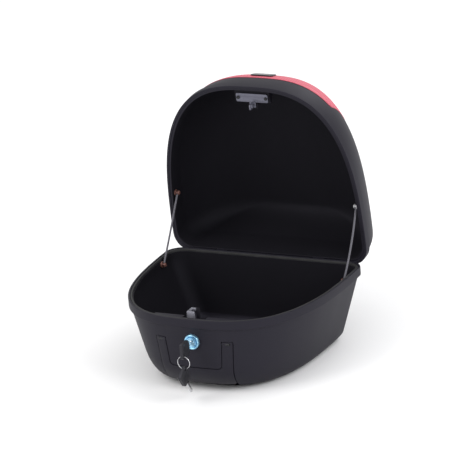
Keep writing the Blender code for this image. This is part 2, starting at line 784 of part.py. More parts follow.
def catch_spans():
    """Return the catch plate's front and rear y."""
    front = FRONT_Y + CATCH_FRONT_INSET
    return front, front + CATCH_DEPTH


def catch_boss():
    """Return the boss inside the lid that carries the catch plate."""
    front, rear = catch_spans()
    low = LID_Z + CATCH_ABOVE_RIM + CATCH_THICKNESS + RUNNING_GAP
    back = rear + HOOK_LENGTH + 0.003
    tall = CATCH_BOSS_HEIGHT + 0.014
    edge = rear + 0.001
    share = (edge - FRONT_Y) / (back - FRONT_Y)
    high = low + tall + (CATCH_BOSS_END - tall) * share
    points = [(edge - 0.005, low), (back, low), (back, low + CATCH_BOSS_END), (edge - 0.005, high - 0.001)]
    foot = extrusion("foot", points, -HOOK_BOSS_HALF_WIDTH, HOOK_BOSS_HALF_WIDTH, "X")
    points = [(FRONT_Y, low), (edge, low), (edge, high), (FRONT_Y, low + tall)]
    half = CATCH_WIDTH / 2 + 0.003
    boss = combine(extrusion("boss", points, -half, half, "X"), foot, "UNION")
    return combine(boss, lid_skin("inside", 0.0012), "INTERSECT")


def lens_prism(name, shrink, low=LENS_LOW, high=LENS_HIGH, half=LENS_HALF_WIDTH, slant=LENS_SLANT):
    """Return the reflector's outline as a prism through the lid's front."""
    corners = [
        (-half + shrink, LID_Z + low + shrink),
        (half - shrink, LID_Z + low + shrink),
        (half - slant - shrink, LID_Z + high - shrink),
        (-half + slant + shrink, LID_Z + high - shrink),
    ]
    return extrusion(name, rounded_polygon(corners, 0.006), FRONT_Y - 0.02, FRONT_Y + LENS_PRISM_DEPTH)


def lid_layer(name, prism, outer, inner, mat):
    """Return the part of a prism between two depths of the lid wall."""
    layer = combine(prism, lid_skin("over", outer), "INTERSECT")
    layer = combine(layer, lid_skin("under", inner), "DIFFERENCE")
    layer.name = name
    layer.data.materials.clear()
    layer.data.materials.append(mat)
    return layer


def lid_shell(mat):
    """Return the finished lid in its closed place."""
    lid = lid_body(mat)
    lid = combine(lid, catch_boss(), "UNION")
    seat = lens_prism("seat", 0.0)
    seat = combine(seat, lid_skin("bed", LENS_SEAT), "DIFFERENCE")
    lid = combine(lid, seat, "DIFFERENCE")
    for centre in hinge_centres():
        half = LID_KNUCKLE_WIDTH / 2
        lid = combine(lid, lid_knuckle(centre - half, centre + half), "UNION")
    lid = combine(lid, hinge_bore(), "DIFFERENCE")
    front, rear = catch_spans()
    for x in (-CATCH_SCREW_SPACING / 2, CATCH_SCREW_SPACING / 2):
        y = (front + rear) / 2
        z = LID_Z + CATCH_ABOVE_RIM
        bore = cylinder("bore", (x, y, z - 0.002), (x, y, z + 0.0095), 0.0016, None, 16)
        lid = combine(lid, bore, "DIFFERENCE")
    return lid


def lid_knuckle(low, high):
    """Return one lid hinge knuckle with a web up to the rear rim."""
    points = []
    for k in range(13):
        angle = math.radians(180 + 180 * k / 12)
        points.append((HINGE.y + KNUCKLE_RADIUS * math.cos(angle), HINGE.z + KNUCKLE_RADIUS * math.sin(angle)))
    rear = REAR_Y + LID_OVERHANG - 0.0004
    points += [(rear, LID_Z + 0.002), (rear, LID_Z + 0.006), (HINGE.y - 0.0037, LID_Z + 0.006)]
    points.append((HINGE.y - 0.0037, HINGE.z + 0.003))
    return extrusion("knuckle", points, low, high, "X")


def catch_plate(mat):
    """Return the lid's catch plate with its two screw holes."""
    front, rear = catch_spans()
    middle = (front + rear) / 2
    outline_points = [(x, y + middle) for x, y in rectangle(CATCH_WIDTH / 2, CATCH_DEPTH / 2, 0.003)]
    low = LID_Z + CATCH_ABOVE_RIM
    plate = extrusion("catch_plate", outline_points, low, low + CATCH_THICKNESS, "Z", mat)
    for x in (-CATCH_SCREW_SPACING / 2, CATCH_SCREW_SPACING / 2):
        hole = cylinder("hole", (x, middle, low - 0.002), (x, middle, low + 0.006), 0.0018, None, 20)
        plate = combine(plate, hole, "DIFFERENCE")
    return plate


def bolt_centre():
    """Return the latch bolt's y and z where it meets the hook."""
    rear = catch_spans()[1]
    y = rear + RUNNING_GAP + HOOK_LENGTH / 2
    z = TUB_HEIGHT + 0.0035
    return y, z


def catch_hook(mat):
    """Return the lid's hook: a foot under the boss and a pierced web."""
    rear = catch_spans()[1]
    start = rear + RUNNING_GAP
    end = start + HOOK_LENGTH
    top = LID_Z + CATCH_ABOVE_RIM + CATCH_THICKNESS
    low = (-HOOK_THICKNESS * 2, start, top - 0.0018)
    hook = box("catch_hook", low, (HOOK_THICKNESS * 2, end, top), mat)
    half = HOOK_THICKNESS / 2
    bottom = top - HOOK_REACH
    y, z = bolt_centre()
    web = [(start, bottom), (end, bottom), (end, top - 0.001), (start, top - 0.001)]
    web = rounded_polygon(web, 0.0022, 4)
    hook = combine(hook, extrusion("web", web, -half, half, "X"), "UNION")
    gap = BOLT_SECTION / 2 + 0.001
    window = [(y - gap, z - gap), (y + gap, z - gap), (y + gap, z + gap), (y - gap, z + gap)]
    window = extrusion("window", rounded_polygon(window, 0.001, 3), -half * 2, half * 2, "X")
    return combine(hook, window, "DIFFERENCE")


def lock_bezel(mat):
    """Return the round bezel on the front panel."""
    back = LOCK_PAD_Y - RUNNING_GAP
    front = back - BEZEL_THICKNESS
    bezel = cylinder("lock_bezel", (0, back, LOCK_Z), (0, front, LOCK_Z), LOCK_RADIUS, mat, 56, LOCK_RADIUS - 0.0022)
    bore = cylinder(
        "bore", (0, back + 0.002, LOCK_Z), (0, front - 0.002, LOCK_Z), BARREL_RADIUS + RUNNING_GAP, None, 48
    )
    return combine(bezel, bore, "DIFFERENCE")


def lock_barrel(mat):
    """Return the fixed barrel that runs through the panel."""
    front = LOCK_PAD_Y - RUNNING_GAP - BEZEL_THICKNESS - 0.0008
    end = barrel_end_y()
    barrel = cylinder("lock_barrel", (0, front, LOCK_Z), (0, end, LOCK_Z), BARREL_RADIUS, mat, 48)
    bore = cylinder(
        "bore", (0, front - 0.002, LOCK_Z), (0, end + 0.002, LOCK_Z), PLUG_RADIUS + BORE_CLEARANCE, None, 48
    )
    return combine(barrel, bore, "DIFFERENCE")


def lock_nut(mat):
    """Return the six-sided nut behind the panel."""
    start = FRONT_WALL_Y + WALL + 0.0012
    end = start + NUT_THICKNESS
    radius = NUT_ACROSS / 2 / math.cos(math.pi / 6)
    nut = cylinder("lock_nut", (0, start, LOCK_Z), (0, end, LOCK_Z), radius, mat, 6)
    bore = cylinder(
        "bore", (0, start - 0.002, LOCK_Z), (0, end + 0.002, LOCK_Z), BARREL_RADIUS + 0.0002, None, 48
    )
    return combine(nut, bore, "DIFFERENCE")


def plug_front_y():
    """Return the front face of the lock plug."""
    return LOCK_PAD_Y - RUNNING_GAP - BEZEL_THICKNESS - LOCK_PROUD + 0.003


def lock_plug(mat):
    """Return the turning plug with its keyway."""
    front = plug_front_y()
    end = barrel_end_y() + 0.0003
    plug = cylinder("lock_plug", (0, front, LOCK_Z), (0, end, LOCK_Z), PLUG_RADIUS, mat, 48)
    half_x = KEY_BLADE_THICKNESS / 2 + 0.0003
    half_z = KEY_BLADE_HEIGHT / 2 + 0.0003
    low = (-half_x, front - 0.001, LOCK_Z - half_z)
    high = (half_x, end + 0.001, LOCK_Z + half_z)
    return combine(plug, box("keyway", low, high), "DIFFERENCE")


def cam_pin_place():
    """Return the cam pin's x and z at rest, an eighth of a turn before the top."""
    angle = math.radians(45)
    return (-CAM_PIN_ORBIT * math.sin(angle), LOCK_Z + CAM_PIN_ORBIT * math.cos(angle))


def lock_cam(mat):
    """Return the cam disc and its drive pin behind the plug."""
    start = barrel_end_y() + 0.0005
    end = start + CAM_THICKNESS
    cam = cylinder("lock_cam", (0, start, LOCK_Z), (0, end, LOCK_Z), CAM_PIN_ORBIT + 0.0035, mat, 40)
    x, z = cam_pin_place()
    pin_end = tongue_y() + TONGUE_THICKNESS + 0.0012
    pin = cylinder("pin", (x, end - 0.001, z), (x, pin_end, z), CAM_PIN_RADIUS, None, 24)
    return combine(cam, pin, "UNION")


def latch_tongue(mat):
    """Return the steel latch tongue: slotted plate, arm over the rim and side-going bolt."""
    front = tongue_y()
    back = front + TONGUE_THICKNESS
    top = TUB_HEIGHT + TONGUE_ABOVE_RIM
    y, z = bolt_centre()
    arm_low = z - BOLT_SECTION / 2
    arm_high = z + BOLT_SECTION / 2
    bottom = LOCK_Z - 0.004
    shoulder = TUB_HEIGHT - TONGUE_SHOULDER
    profile = [(TONGUE_LEFT, bottom), (TONGUE_RIGHT, bottom), (TONGUE_RIGHT, shoulder)]
    profile += [(TONGUE_NECK, shoulder), (TONGUE_NECK, top), (TONGUE_LEFT, top)]
    profile = rounded_polygon(profile, 0.002, 4)
    tongue = extrusion("latch_tongue", profile, front, back, "Y", mat)
    pin_x = cam_pin_place()[0]
    swing = CAM_PIN_ORBIT * (1 - math.cos(math.radians(45)))
    gap = CAM_PIN_RADIUS + 0.0004
    pin_low = LOCK_Z + CAM_PIN_ORBIT * math.cos(math.radians(45))
    slot = [
        (pin_x - gap, pin_low - gap),
        (pin_x + gap, pin_low - gap),
        (pin_x + gap, pin_low + swing + gap),
        (pin_x - gap, pin_low + swing + gap),
    ]
    slot = extrusion("slot", rounded_polygon(slot, CAM_PIN_RADIUS, 5), front - 0.001, back + 0.001)
    tongue = combine(tongue, slot, "DIFFERENCE")
    low = (TONGUE_LEFT, back - 0.001, arm_low)
    high = (TONGUE_LEFT + ARM_WIDTH, y + BOLT_SECTION / 2, arm_high)
    tongue = combine(tongue, bevelled_box("arm", low, high, 0.0006), "UNION")
    low = (TONGUE_LEFT + ARM_WIDTH / 2, y - BOLT_SECTION / 2, arm_low)
    high = (-HOOK_THICKNESS / 2 - 0.003, y + BOLT_SECTION / 2, arm_high)
    return combine(tongue, bevelled_box("bolt", low, high, 0.0006), "UNION")


def latch_cover(mat):
    """Return the cover plate over the latch pocket with a post that guards the tongue."""
    start = BLOCK_Y + RUNNING_GAP
    end = start + COVER_THICKNESS
    half = POCKET_HALF_WIDTH + COVER_MARGIN
    low_z = POCKET_BOTTOM - COVER_MARGIN + 0.004
    high_z = POCKET_TOP + COVER_MARGIN - 0.003
    corners = [(-half, low_z), (half, low_z), (half, high_z), (-half, high_z)]
    cover = extrusion("latch_cover", rounded_polygon(corners, 0.004), start, end, "Y", mat)
    post_top = TUB_HEIGHT + COVER_POST_ABOVE_RIM
    post = bevelled_box(
        "post", (COVER_POST_LEFT, start, high_z - 0.006), (COVER_POST_RIGHT, end + 0.0004, post_top), 0.0008
    )
    cover = combine(cover, post, "UNION")
    for x, z in cover_screw_places():
        hole = cylinder("hole", (x, start - 0.002, z), (x, end + 0.002, z), 0.0016, None, 20)
        cover = combine(cover, hole, "DIFFERENCE")
    return cover


def handle_pin(name, side, mat):
    """Return one headed pivot pin of the handle, fitted from inside the pocket."""
    y = handle_pivot_y()
    z = HANDLE_PIVOT_Z
    head_in = POCKET_HALF_WIDTH - 0.0024
    head_out = POCKET_HALF_WIDTH - RUNNING_GAP
    tip = HANDLE_TOP_WIDTH / 2 - 0.005
    pin = cylinder(name, (side * head_in, y, z), (side * tip, y, z), HANDLE_PIN_RADIUS, mat, 24)
    head = cylinder("head", (side * head_in, y, z), (side * head_out, y, z), HANDLE_PIN_HEAD_RADIUS, None, 24)
    return combine(pin, head, "UNION")


def half_width_at(y):
    """Return the rim's half width at a y in front of the rear corner."""
    reach = max(0.0, WIDEST_Y - y)
    width = HALF_WIDTH - SIDE_TAPER * reach
    return width * (1 - (reach / NOSE_LENGTH) ** NOSE_POWER) ** (1 / NOSE_POWER)


def post_x(y, inset):
    """Return the x of the wall face that carries a cord post."""
    return half_width_at(y - POST_FLANGE_RADIUS) * (1 - inset / HALF_WIDTH) - POST_WALL_GAP


def cord_post(name, side, y, z, wall_x, mat):
    """Return a turned cord post: flange on the wall, shank and head."""
    flange_end = wall_x - POST_FLANGE_THICKNESS
    shank_end = flange_end - POST_SHANK_LENGTH
    head_end = shank_end - POST_HEAD_THICKNESS
    post = cylinder(name, (side * wall_x, y, z), (side * flange_end, y, z), POST_FLANGE_RADIUS, mat, 32)
    shank = cylinder(
        "shank", (side * (flange_end + 0.001), y, z), (side * (shank_end - 0.001), y, z), POST_SHANK_RADIUS
    )
    head = cylinder(
        "head",
        (side * shank_end, y, z),
        (side * head_end, y, z),
        POST_HEAD_RADIUS,
        None,
        32,
        POST_HEAD_RADIUS * 0.75,
    )
    post = combine(post, shank, "UNION")
    return combine(post, head, "UNION")


def cord_x():
    """Return the x of the plane in which a check cord lies at its tub end."""
    return post_x(TUB_POST_Y, LEDGE_INSET) - POST_FLANGE_THICKNESS - POST_SHANK_LENGTH / 2


def lid_cord_x():
    """Return the x of the plane in which a check cord lies at its lid end."""
    return post_x(LID_POST_Y, LID_RIM_WIDTH) - POST_FLANGE_THICKNESS - POST_SHANK_LENGTH / 2


def opened(point):
    """Return a closed-lid point in its open place."""
    turn = Matrix.Rotation(-LID_OPEN_ANGLE, 4, "X")
    return HINGE + turn @ (Vector(point) - HINGE)


def check_cord(name, side, bow, mat):
    """Return one check cord between its two posts, with a small bow."""
    start = Vector((side * cord_x(), TUB_POST_Y, TUB_HEIGHT - TUB_POST_BELOW_RIM))
    end = opened((side * lid_cord_x(), LID_POST_Y, LID_Z + LID_POST_ABOVE_RIM))
    along = (end - start).normalized()
    reach = POST_SHANK_RADIUS + CORD_RADIUS * 0.5 + 0.0003
    start += along * reach
    end -= along * reach
    count = max(4, round((end - start).length / (CORD_RADIUS * 5)))
    outward = Vector((0, along.z, -along.y))
    curve = bpy.data.curves.new(name, "CURVE")
    curve.dimensions = "3D"
    curve.bevel_depth = CORD_RADIUS
    curve.bevel_resolution = 2
    curve.use_fill_caps = True
    spline = curve.splines.new("POLY")
    spline.points.add(count)
    for i in range(count + 1):
        t = i / count
        point = start.lerp(end, t) + outward * bow * 4 * t * (1 - t)
        spline.points[i].co = (*point, 1.0)
    obj = bpy.data.objects.new(name, curve)
    bpy.context.scene.collection.objects.link(obj)
    curve.materials.append(mat)
    return obj


def plate_ribs():
    """Return the two families of slanting ribs under the deck."""
    half_x = PLATE_WIDTH / 2 - 0.001
    half_y = PLATE_DEPTH / 2 - 0.001
    reach = (half_x + half_y) * 1.5
    step = RIB_SPACING * math.sqrt(2)
    count = int((half_x + half_y) / step) + 1
    ribs = []
    for slope in (-1, 1):
        for i in range(-count, count + 1):
            offset = step * (i + 0.5)
            centre = Vector((offset, 0, PLATE_HEIGHT / 2 - 0.001))
            bm = bmesh.new()
            turn = Matrix.Rotation(slope * math.pi / 4, 4, "Z")
            size = Matrix.Diagonal((reach, RIB_THICKNESS, PLATE_HEIGHT - 0.004, 1.0))
            bmesh.ops.create_cube(bm, size=1.0, matrix=Matrix.Translation(centre) @ turn @ size)
            ribs.append(add_object("rib", bm))
    return ribs


def mounting_plate(mat):
    """Return the waffle plate that stays on the luggage rack."""
    half_x = PLATE_WIDTH / 2
    half_y = PLATE_DEPTH / 2
    outer = rectangle(half_x, half_y, PLATE_CORNER)
    plate = extrusion("mounting_plate", outer, 0.0, PLATE_HEIGHT, "Z", mat)
    inner = rectangle(half_x - PLATE_RIM, half_y - PLATE_RIM, PLATE_CORNER - PLATE_RIM)
    hollow = extrusion("hollow", inner, -0.001, PLATE_HEIGHT - PLATE_DECK, "Z")
    grid = None
    for rib in plate_ribs():
        grid = rib if grid is None else combine(grid, rib, "UNION")
    field = extrusion("field", rectangle(half_x - 0.002, half_y - 0.002, PLATE_CORNER - 0.002), 0.0, 0.02, "Z")
    grid = combine(grid, field, "INTERSECT")
    for offset in (-KNOB_SPACING / 2, KNOB_SPACING / 2):
        room = cylinder("room", (0, offset, -0.01), (0, offset, 0.03), POCKET_RADIUS, None, 40)
        grid = combine(grid, room, "DIFFERENCE")
    plate = combine(plate, hollow, "DIFFERENCE")
    for offset in (-KNOB_SPACING / 2, KNOB_SPACING / 2):
        ring = cylinder(
            "ring", (0, offset, 0.001), (0, offset, PLATE_HEIGHT - 0.001), POCKET_RADIUS + RIB_THICKNESS, None, 40
        )
        room = cylinder(
            "room", (0, offset, -0.01), (0, offset, PLATE_HEIGHT - PLATE_DECK), POCKET_RADIUS, None, 40
        )
        plate = combine(plate, combine(ring, room, "DIFFERENCE"), "UNION")
        plate = combine(plate, bar_slot(offset), "DIFFERENCE")
    plate = combine(plate, grid, "UNION")
    boss = cylinder("boss", (0, 0, 0), (0, 0, PLATE_HEIGHT - 0.001), PLATE_BOSS_RADIUS, None, 40)
    plate = combine(plate, boss, "UNION")
    step = RIB_SPACING * math.sqrt(2)
    for i in range(-3, 4):
        for j in range(-3, 4):
            x = step / 2 * i
            y = step / 2 * j
            inside = abs(x) < half_x - 0.016 and abs(y) < half_y - 0.016
            near_knob = min(abs(y - KNOB_SPACING / 2), abs(y + KNOB_SPACING / 2)) < 0.03 and abs(x) < 0.03
            near_boss = math.hypot(x, y) < PLATE_BOSS_RADIUS + 0.012
            if (i + j) % 2 == 0 or not inside or near_knob or near_boss:
                continue
            slot = rectangle(0.0065, 0.0065, 0.002, 1)
            turned = [((u - v) * 0.7071 + x, (u + v) * 0.7071 + y) for u, v in slot]
            plate = combine(plate, extrusion("slot", turned, 0.005, 0.02, "Z"), "DIFFERENCE")
    return plate


def bar_slot(offset):
    """Return the slot in the deck that the knob's bar drops through."""
    gap = 0.0008
    slot = rectangle(BAR_WIDTH / 2 + gap, BAR_LENGTH / 2 + gap, 0.002, 3)
    slot = [(x, y + offset) for x, y in slot]
    return extrusion("bar_slot", slot, PLATE_HEIGHT - PLATE_DECK - 0.001, PLATE_HEIGHT + 0.001, "Z")


def plate_knob(name, offset, mat):
    """Return a quarter-turn knob on the tub floor with its stem."""
    base = PLATE_HEIGHT + PLATE_GAP + FLOOR + RUNNING_GAP
    disc = cylinder(
        name, (0, offset, base), (0, offset, base + KNOB_HEIGHT * 0.5), KNOB_RADIUS, mat, 48, KNOB_RADIUS * 0.94
    )
    wing = bevelled_box(
        "wing",
        (-0.0035, offset - KNOB_RADIUS * 0.86, base + 0.001),
        (0.0035, offset + KNOB_RADIUS * 0.86, base + KNOB_HEIGHT),
        0.0015,
    )
    disc = combine(disc, wing, "UNION")
    bottom = PLATE_HEIGHT - PLATE_DECK - 0.0012
    stem = cylinder("stem", (0, offset, base + 0.002), (0, offset, bottom), KNOB_STEM_RADIUS * 0.7, None, 32)
    collar = cylinder("collar", (0, offset, base + 0.002), (0, offset, PLATE_HEIGHT + 0.001), KNOB_STEM_RADIUS, None, 32)
    disc = combine(disc, stem, "UNION")
    return combine(disc, collar, "UNION")


def knob_bar(name, offset, mat):
    """Return the steel bar that a knob turns under the plate's deck."""
    top = PLATE_HEIGHT - PLATE_DECK - 0.0015
    points = [(x, y + offset) for x, y in rectangle(BAR_WIDTH / 2, BAR_LENGTH / 2, 0.002, 3)]
    return extrusion(name, points, top - BAR_THICKNESS, top, "Z", mat)


def key_bow_profile():
    """Return the bow's outline in its own plane: u runs out from the blade, v across it."""
    low = -KEY_BOW_HEIGHT / 2 - KEY_BOW_DROP
    high = KEY_BOW_HEIGHT / 2 - KEY_BOW_DROP
    corners = [(0, low * 0.55), (0.005, low), (KEY_BOW_LENGTH, low), (KEY_BOW_LENGTH, high)]
    corners += [(0.005, high), (0, high * 0.62)]
    return rounded_polygon(corners, 0.004, 4)


def bow_hole():
    """Return the ring hole's place in the bow's plane."""
    return KEY_BOW_LENGTH - KEY_HOLE_INSET, -KEY_BOW_HEIGHT / 2 - KEY_BOW_DROP + KEY_HOLE_INSET


def key_bow(name, mat, side_up=1):
    """Return a moulded bow at the origin, outward along -Y; side_up -1 turns it over."""
    points = [(-u, v * side_up) for u, v in key_bow_profile()]
    half = KEY_BOW_THICKNESS / 2
    bow = extrusion(name, points, -half, half, "X", mat)
    u, v = bow_hole()
    v *= side_up
    hole = cylinder("hole", (-half * 2, -u, v), (half * 2, -u, v), KEY_HOLE_RADIUS, None, 24)
    bow = combine(bow, hole, "DIFFERENCE")
    for i in range(4):
        y = -0.008 - 0.0034 * i
        for side in (-1, 1):
            low = (min(side * half * 0.86, side * half * 1.3), y - 0.0008, -0.007)
            high = (max(side * half * 0.86, side * half * 1.3), y + 0.0008, 0.010)
            bow = combine(bow, box("groove", low, high), "DIFFERENCE")
    slot_x = KEY_BLADE_THICKNESS / 2 + 0.0002
    slot_z = KEY_BLADE_HEIGHT / 2 + 0.0002
    socket = box("socket", (-slot_x, -0.0052, -slot_z), (slot_x, 0.001, slot_z))
    return combine(bow, socket, "DIFFERENCE")


def key_blade(name, mat):
    """Return a key blade at the origin, running from inside the bow along +Y."""
    half = KEY_BLADE_HEIGHT / 2
    end = KEY_BLADE_LENGTH
    profile = [(-0.005, -half), (end - 0.003, -half), (end, 0.0), (end - 0.003, half)]
    cuts = (0.0195, 0.0162, 0.0129, 0.0096)
    for i, y in enumerate(cuts):
        depth = 0.0012 + 0.0006 * (i % 3)
        profile += [(y + 0.0012, half), (y + 0.0004, half - depth), (y - 0.0004, half - depth), (y - 0.0012, half)]
    profile += [(-0.005, half)]
    thick = KEY_BLADE_THICKNESS / 2
    return extrusion(name, profile, -thick, thick, "X", mat)


def key_ring(name, mat):
    """Return the split ring as a plain torus in the XZ plane, centred on the origin."""
    bm = bmesh.new()
    rows = []
    for i in range(36):
        angle = 2 * math.pi * i / 36
        row = []
        for k in range(8):
            turn = 2 * math.pi * k / 8
            radius = RING_RADIUS + RING_WIRE * math.cos(turn)
            row.append(bm.verts.new((radius * math.sin(angle), RING_WIRE * math.sin(turn), radius * math.cos(angle))))
        rows.append(row)
    for i in range(36):
        for k in range(8):
            a, b = rows[i], rows[(i + 1) % 36]
            bm.faces.new((a[k], a[(k + 1) % 8], b[(k + 1) % 8], b[k]))
    return add_object(name, bm, mat, smooth=True)


def empty(name, place, parent=None, turn_x=0.0):
    """Return a joint empty at a world place, turned about X."""
    obj = bpy.data.objects.new(name, None)
    bpy.context.scene.collection.objects.link(obj)
    if parent:
        obj.parent = parent
        obj.location = Vector(place) - parent.location
    else:
        obj.location = place
    obj.rotation_euler = (turn_x, 0.0, 0.0)
    return obj


def attach(objects, joint, place):
    """Hang objects drawn in assembly coordinates on a joint empty at a place."""
    for obj in objects:
        obj.data.transform(Matrix.Translation(-Vector(place)))
        obj.parent = joint


def hang(obj, parent, place, turn_x=0.0):
    """Place an object drawn about its own origin under a parent empty."""
    obj.parent = parent
    obj.location = place
    obj.rotation_euler = (turn_x, 0.0, 0.0)


def build_tub(mats):
    """Model everything that stays with the tub."""
    tub_shell(mats["shell"])
    rim_seal(mats["rubber"])
    for label, centre in zip(("left", "right"), hinge_centres()):
        hinge_pin("hinge_pin_" + label, centre, mats["steel"])
    lock_bezel(mats["bezel"])
    lock_barrel(mats["steel"])
    lock_nut(mats["steel"])
    latch_cover(mats["inner"])
    names = ("low_left", "high_left", "low_right", "high_right")
    for label, (x, z) in zip(names, cover_screw_places()):
        start = (x, BLOCK_Y + RUNNING_GAP + COVER_THICKNESS + 0.0002, z)
        screw("cover_screw_" + label, start, (0, -1, 0), 0.0028, 0.0018, 0.0012, 0.008, mats["steel"])
    for label, side in (("left", -1), ("right", 1)):
        handle_pin("handle_pin_" + label, side, mats["steel"])
        z = TUB_HEIGHT - TUB_POST_BELOW_RIM
        cord_post("tub_cord_post_" + label, side, TUB_POST_Y, z, post_x(TUB_POST_Y, LEDGE_INSET), mats["rivet"])


def build_lid(mats):
    """Model the lid group in its closed place and turn it open."""
    front, rear = catch_spans()
    middle = (front + rear) / 2
    z = LID_Z + CATCH_ABOVE_RIM
    parts = [lid_shell(mats["shell"])]
    prism = lens_prism("lens", 0.0005)
    parts.append(lid_layer("reflector_lens", prism, -LENS_PROUD, LENS_SEAT - BASE_THICKNESS - 0.0006, mats["lens"]))
    prism = lens_prism("base", 0.0012)
    parts.append(lid_layer("reflector_base", prism, LENS_SEAT - BASE_THICKNESS - 0.0003, LENS_SEAT - 0.0003, mats["base"]))
    prism = lens_prism("badge", 0.0, LENS_LOW + BADGE_MARGIN, LENS_HIGH - BADGE_MARGIN, BADGE_HALF_WIDTH, 0.002)
    outer = -LENS_PROUD - 0.0003 - BADGE_THICKNESS
    parts.append(lid_layer("badge_panel", prism, outer, -LENS_PROUD - 0.0003, mats["inner"]))
    parts.append(catch_plate(mats["catch"]))
    for label, x in (("left", -CATCH_SCREW_SPACING / 2), ("right", CATCH_SCREW_SPACING / 2)):
        start = (x, middle, z - 0.0002)
        parts.append(screw("catch_screw_" + label, start, (0, 0, 1), 0.0034, 0.0018, 0.0014, 0.009, mats["steel"]))
    parts.append(catch_hook(mats["catch"]))
    for label, side in (("left", -1), ("right", 1)):
        post_z = LID_Z + LID_POST_ABOVE_RIM
        mat = mats["rivet"] if side < 0 else mats["pale"]
        parts.append(cord_post("lid_cord_post_" + label, side, LID_POST_Y, post_z, post_x(LID_POST_Y, LID_RIM_WIDTH), mat))
    joint = empty("lid_hinge_axis", HINGE, turn_x=-LID_OPEN_ANGLE)
    attach(parts, joint, HINGE)


def build_lock(mats):
    """Model the turning and sliding parts of the lock with its keys."""
    axis = Vector((0, plug_front_y(), LOCK_Z))
    plug_joint = empty("lock_axis", axis)
    attach([lock_plug(mats["plug"]), lock_cam(mats["steel"])], plug_joint, axis)
    y, z = bolt_centre()
    slide = Vector((0, tongue_y(), z))
    attach([latch_tongue(mats["catch"])], empty("latch_slide", slide), slide)
    bow_place = Vector((0, plug_front_y() - KEY_STANDOFF, LOCK_Z))
    key_joint = empty("key_slide", bow_place)
    hang(key_bow("key_bow", mats["inner"]), key_joint, (0, 0, 0))
    hang(key_blade("key_blade", mats["steel"]), key_joint, (0, 0, 0))
    u, v = bow_hole()
    hole = bow_place + Vector((0, -u, v))
    ring_top = hole + Vector((0, 0, -KEY_HOLE_RADIUS + RING_WIRE + 0.0003))
    ring_joint = empty("ring_turn", ring_top + Vector((0, 0, -RING_RADIUS)))
    hang(key_ring("key_ring", mats["steel"]), ring_joint, (0, 0, 0))
    rest = ring_top + Vector((0, 0, -2 * RING_RADIUS))
    spare_hole = rest + Vector((0, 0, -KEY_HOLE_RADIUS + RING_WIRE + 0.0003))
    spare_joint = empty("spare_swing", rest)
    turn = -math.pi / 2 + SPARE_TILT
    local = Matrix.Rotation(turn, 3, "X") @ Vector((0, -u, -v))
    origin = spare_hole - local - rest
    hang(key_bow("spare_key_bow", mats["inner"], -1), spare_joint, origin, turn)
    hang(key_blade("spare_key_blade", mats["steel"]), spare_joint, origin, turn)


def build_handle(mats):
    """Model the carry handle on its pivot axis."""
    pivot = Vector((0, handle_pivot_y(), HANDLE_PIVOT_Z))
    attach([handle_grip(mats["shell"])], empty("handle_axis", pivot), pivot)


def build_plate(mats):
    """Model the mounting plate and its two knobs."""
    attach([mounting_plate(mats["shell"])], empty("plate_slide", (0, 0, 0)), (0, 0, 0))
    for label, offset in (("front", -KNOB_SPACING / 2), ("rear", KNOB_SPACING / 2)):
        place = Vector((0, offset, PLATE_HEIGHT))
        joint = empty("knob_axis_" + label, place)
        knob = plate_knob("plate_knob_" + label, offset, mats["inner"])
        bar = knob_bar("knob_bar_" + label, offset, mats["steel"])
        attach([knob, bar], joint, place)


def main():
    """Build the whole top case."""
    clear_scene()
    mats = {
        "shell": material("shell", (0.035, 0.032, 0.040), 0.48),
        "inner": material("inner", (0.018, 0.018, 0.020), 0.55),
        "rubber": material("rubber", (0.012, 0.012, 0.013), 0.75),
        "lens": material("lens", (0.55, 0.05, 0.09), 0.15),
        "base": material("base", (0.60, 0.30, 0.32), 0.30, 0.3),
        "steel": material("steel", (0.55, 0.55, 0.57), 0.35, 1.0),
        "bezel": material("bezel", (0.38, 0.58, 0.72), 0.25, 0.8),
        "plug": material("plug", (0.48, 0.66, 0.78), 0.30, 0.8),
        "catch": material("catch", (0.16, 0.16, 0.19), 0.45, 0.6),
        "rivet": material("rivet", (0.20, 0.10, 0.08), 0.45, 0.4),
        "pale": material("pale", (0.50, 0.50, 0.50), 0.40, 0.5),
        "cord": material("cord", (0.13, 0.12, 0.14), 0.70),
    }
    build_tub(mats)
    build_lid(mats)
    build_lock(mats)
    build_handle(mats)
    build_plate(mats)
    check_cord("check_cord_left", -1, CORD_BOW_LEFT, mats["cord"])
    check_cord("check_cord_right", 1, CORD_BOW_RIGHT, mats["cord"])


main()
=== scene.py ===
"""Looks of a motorcycle top case: open lid, lock with keys, carry handle, reflector and rack plate."""

import logging
import math
from dataclasses import dataclass, field
from enum import Enum
from typing import Any, Callable, Optional, Sequence

import bmesh
import bpy
from mathutils import Matrix, Vector

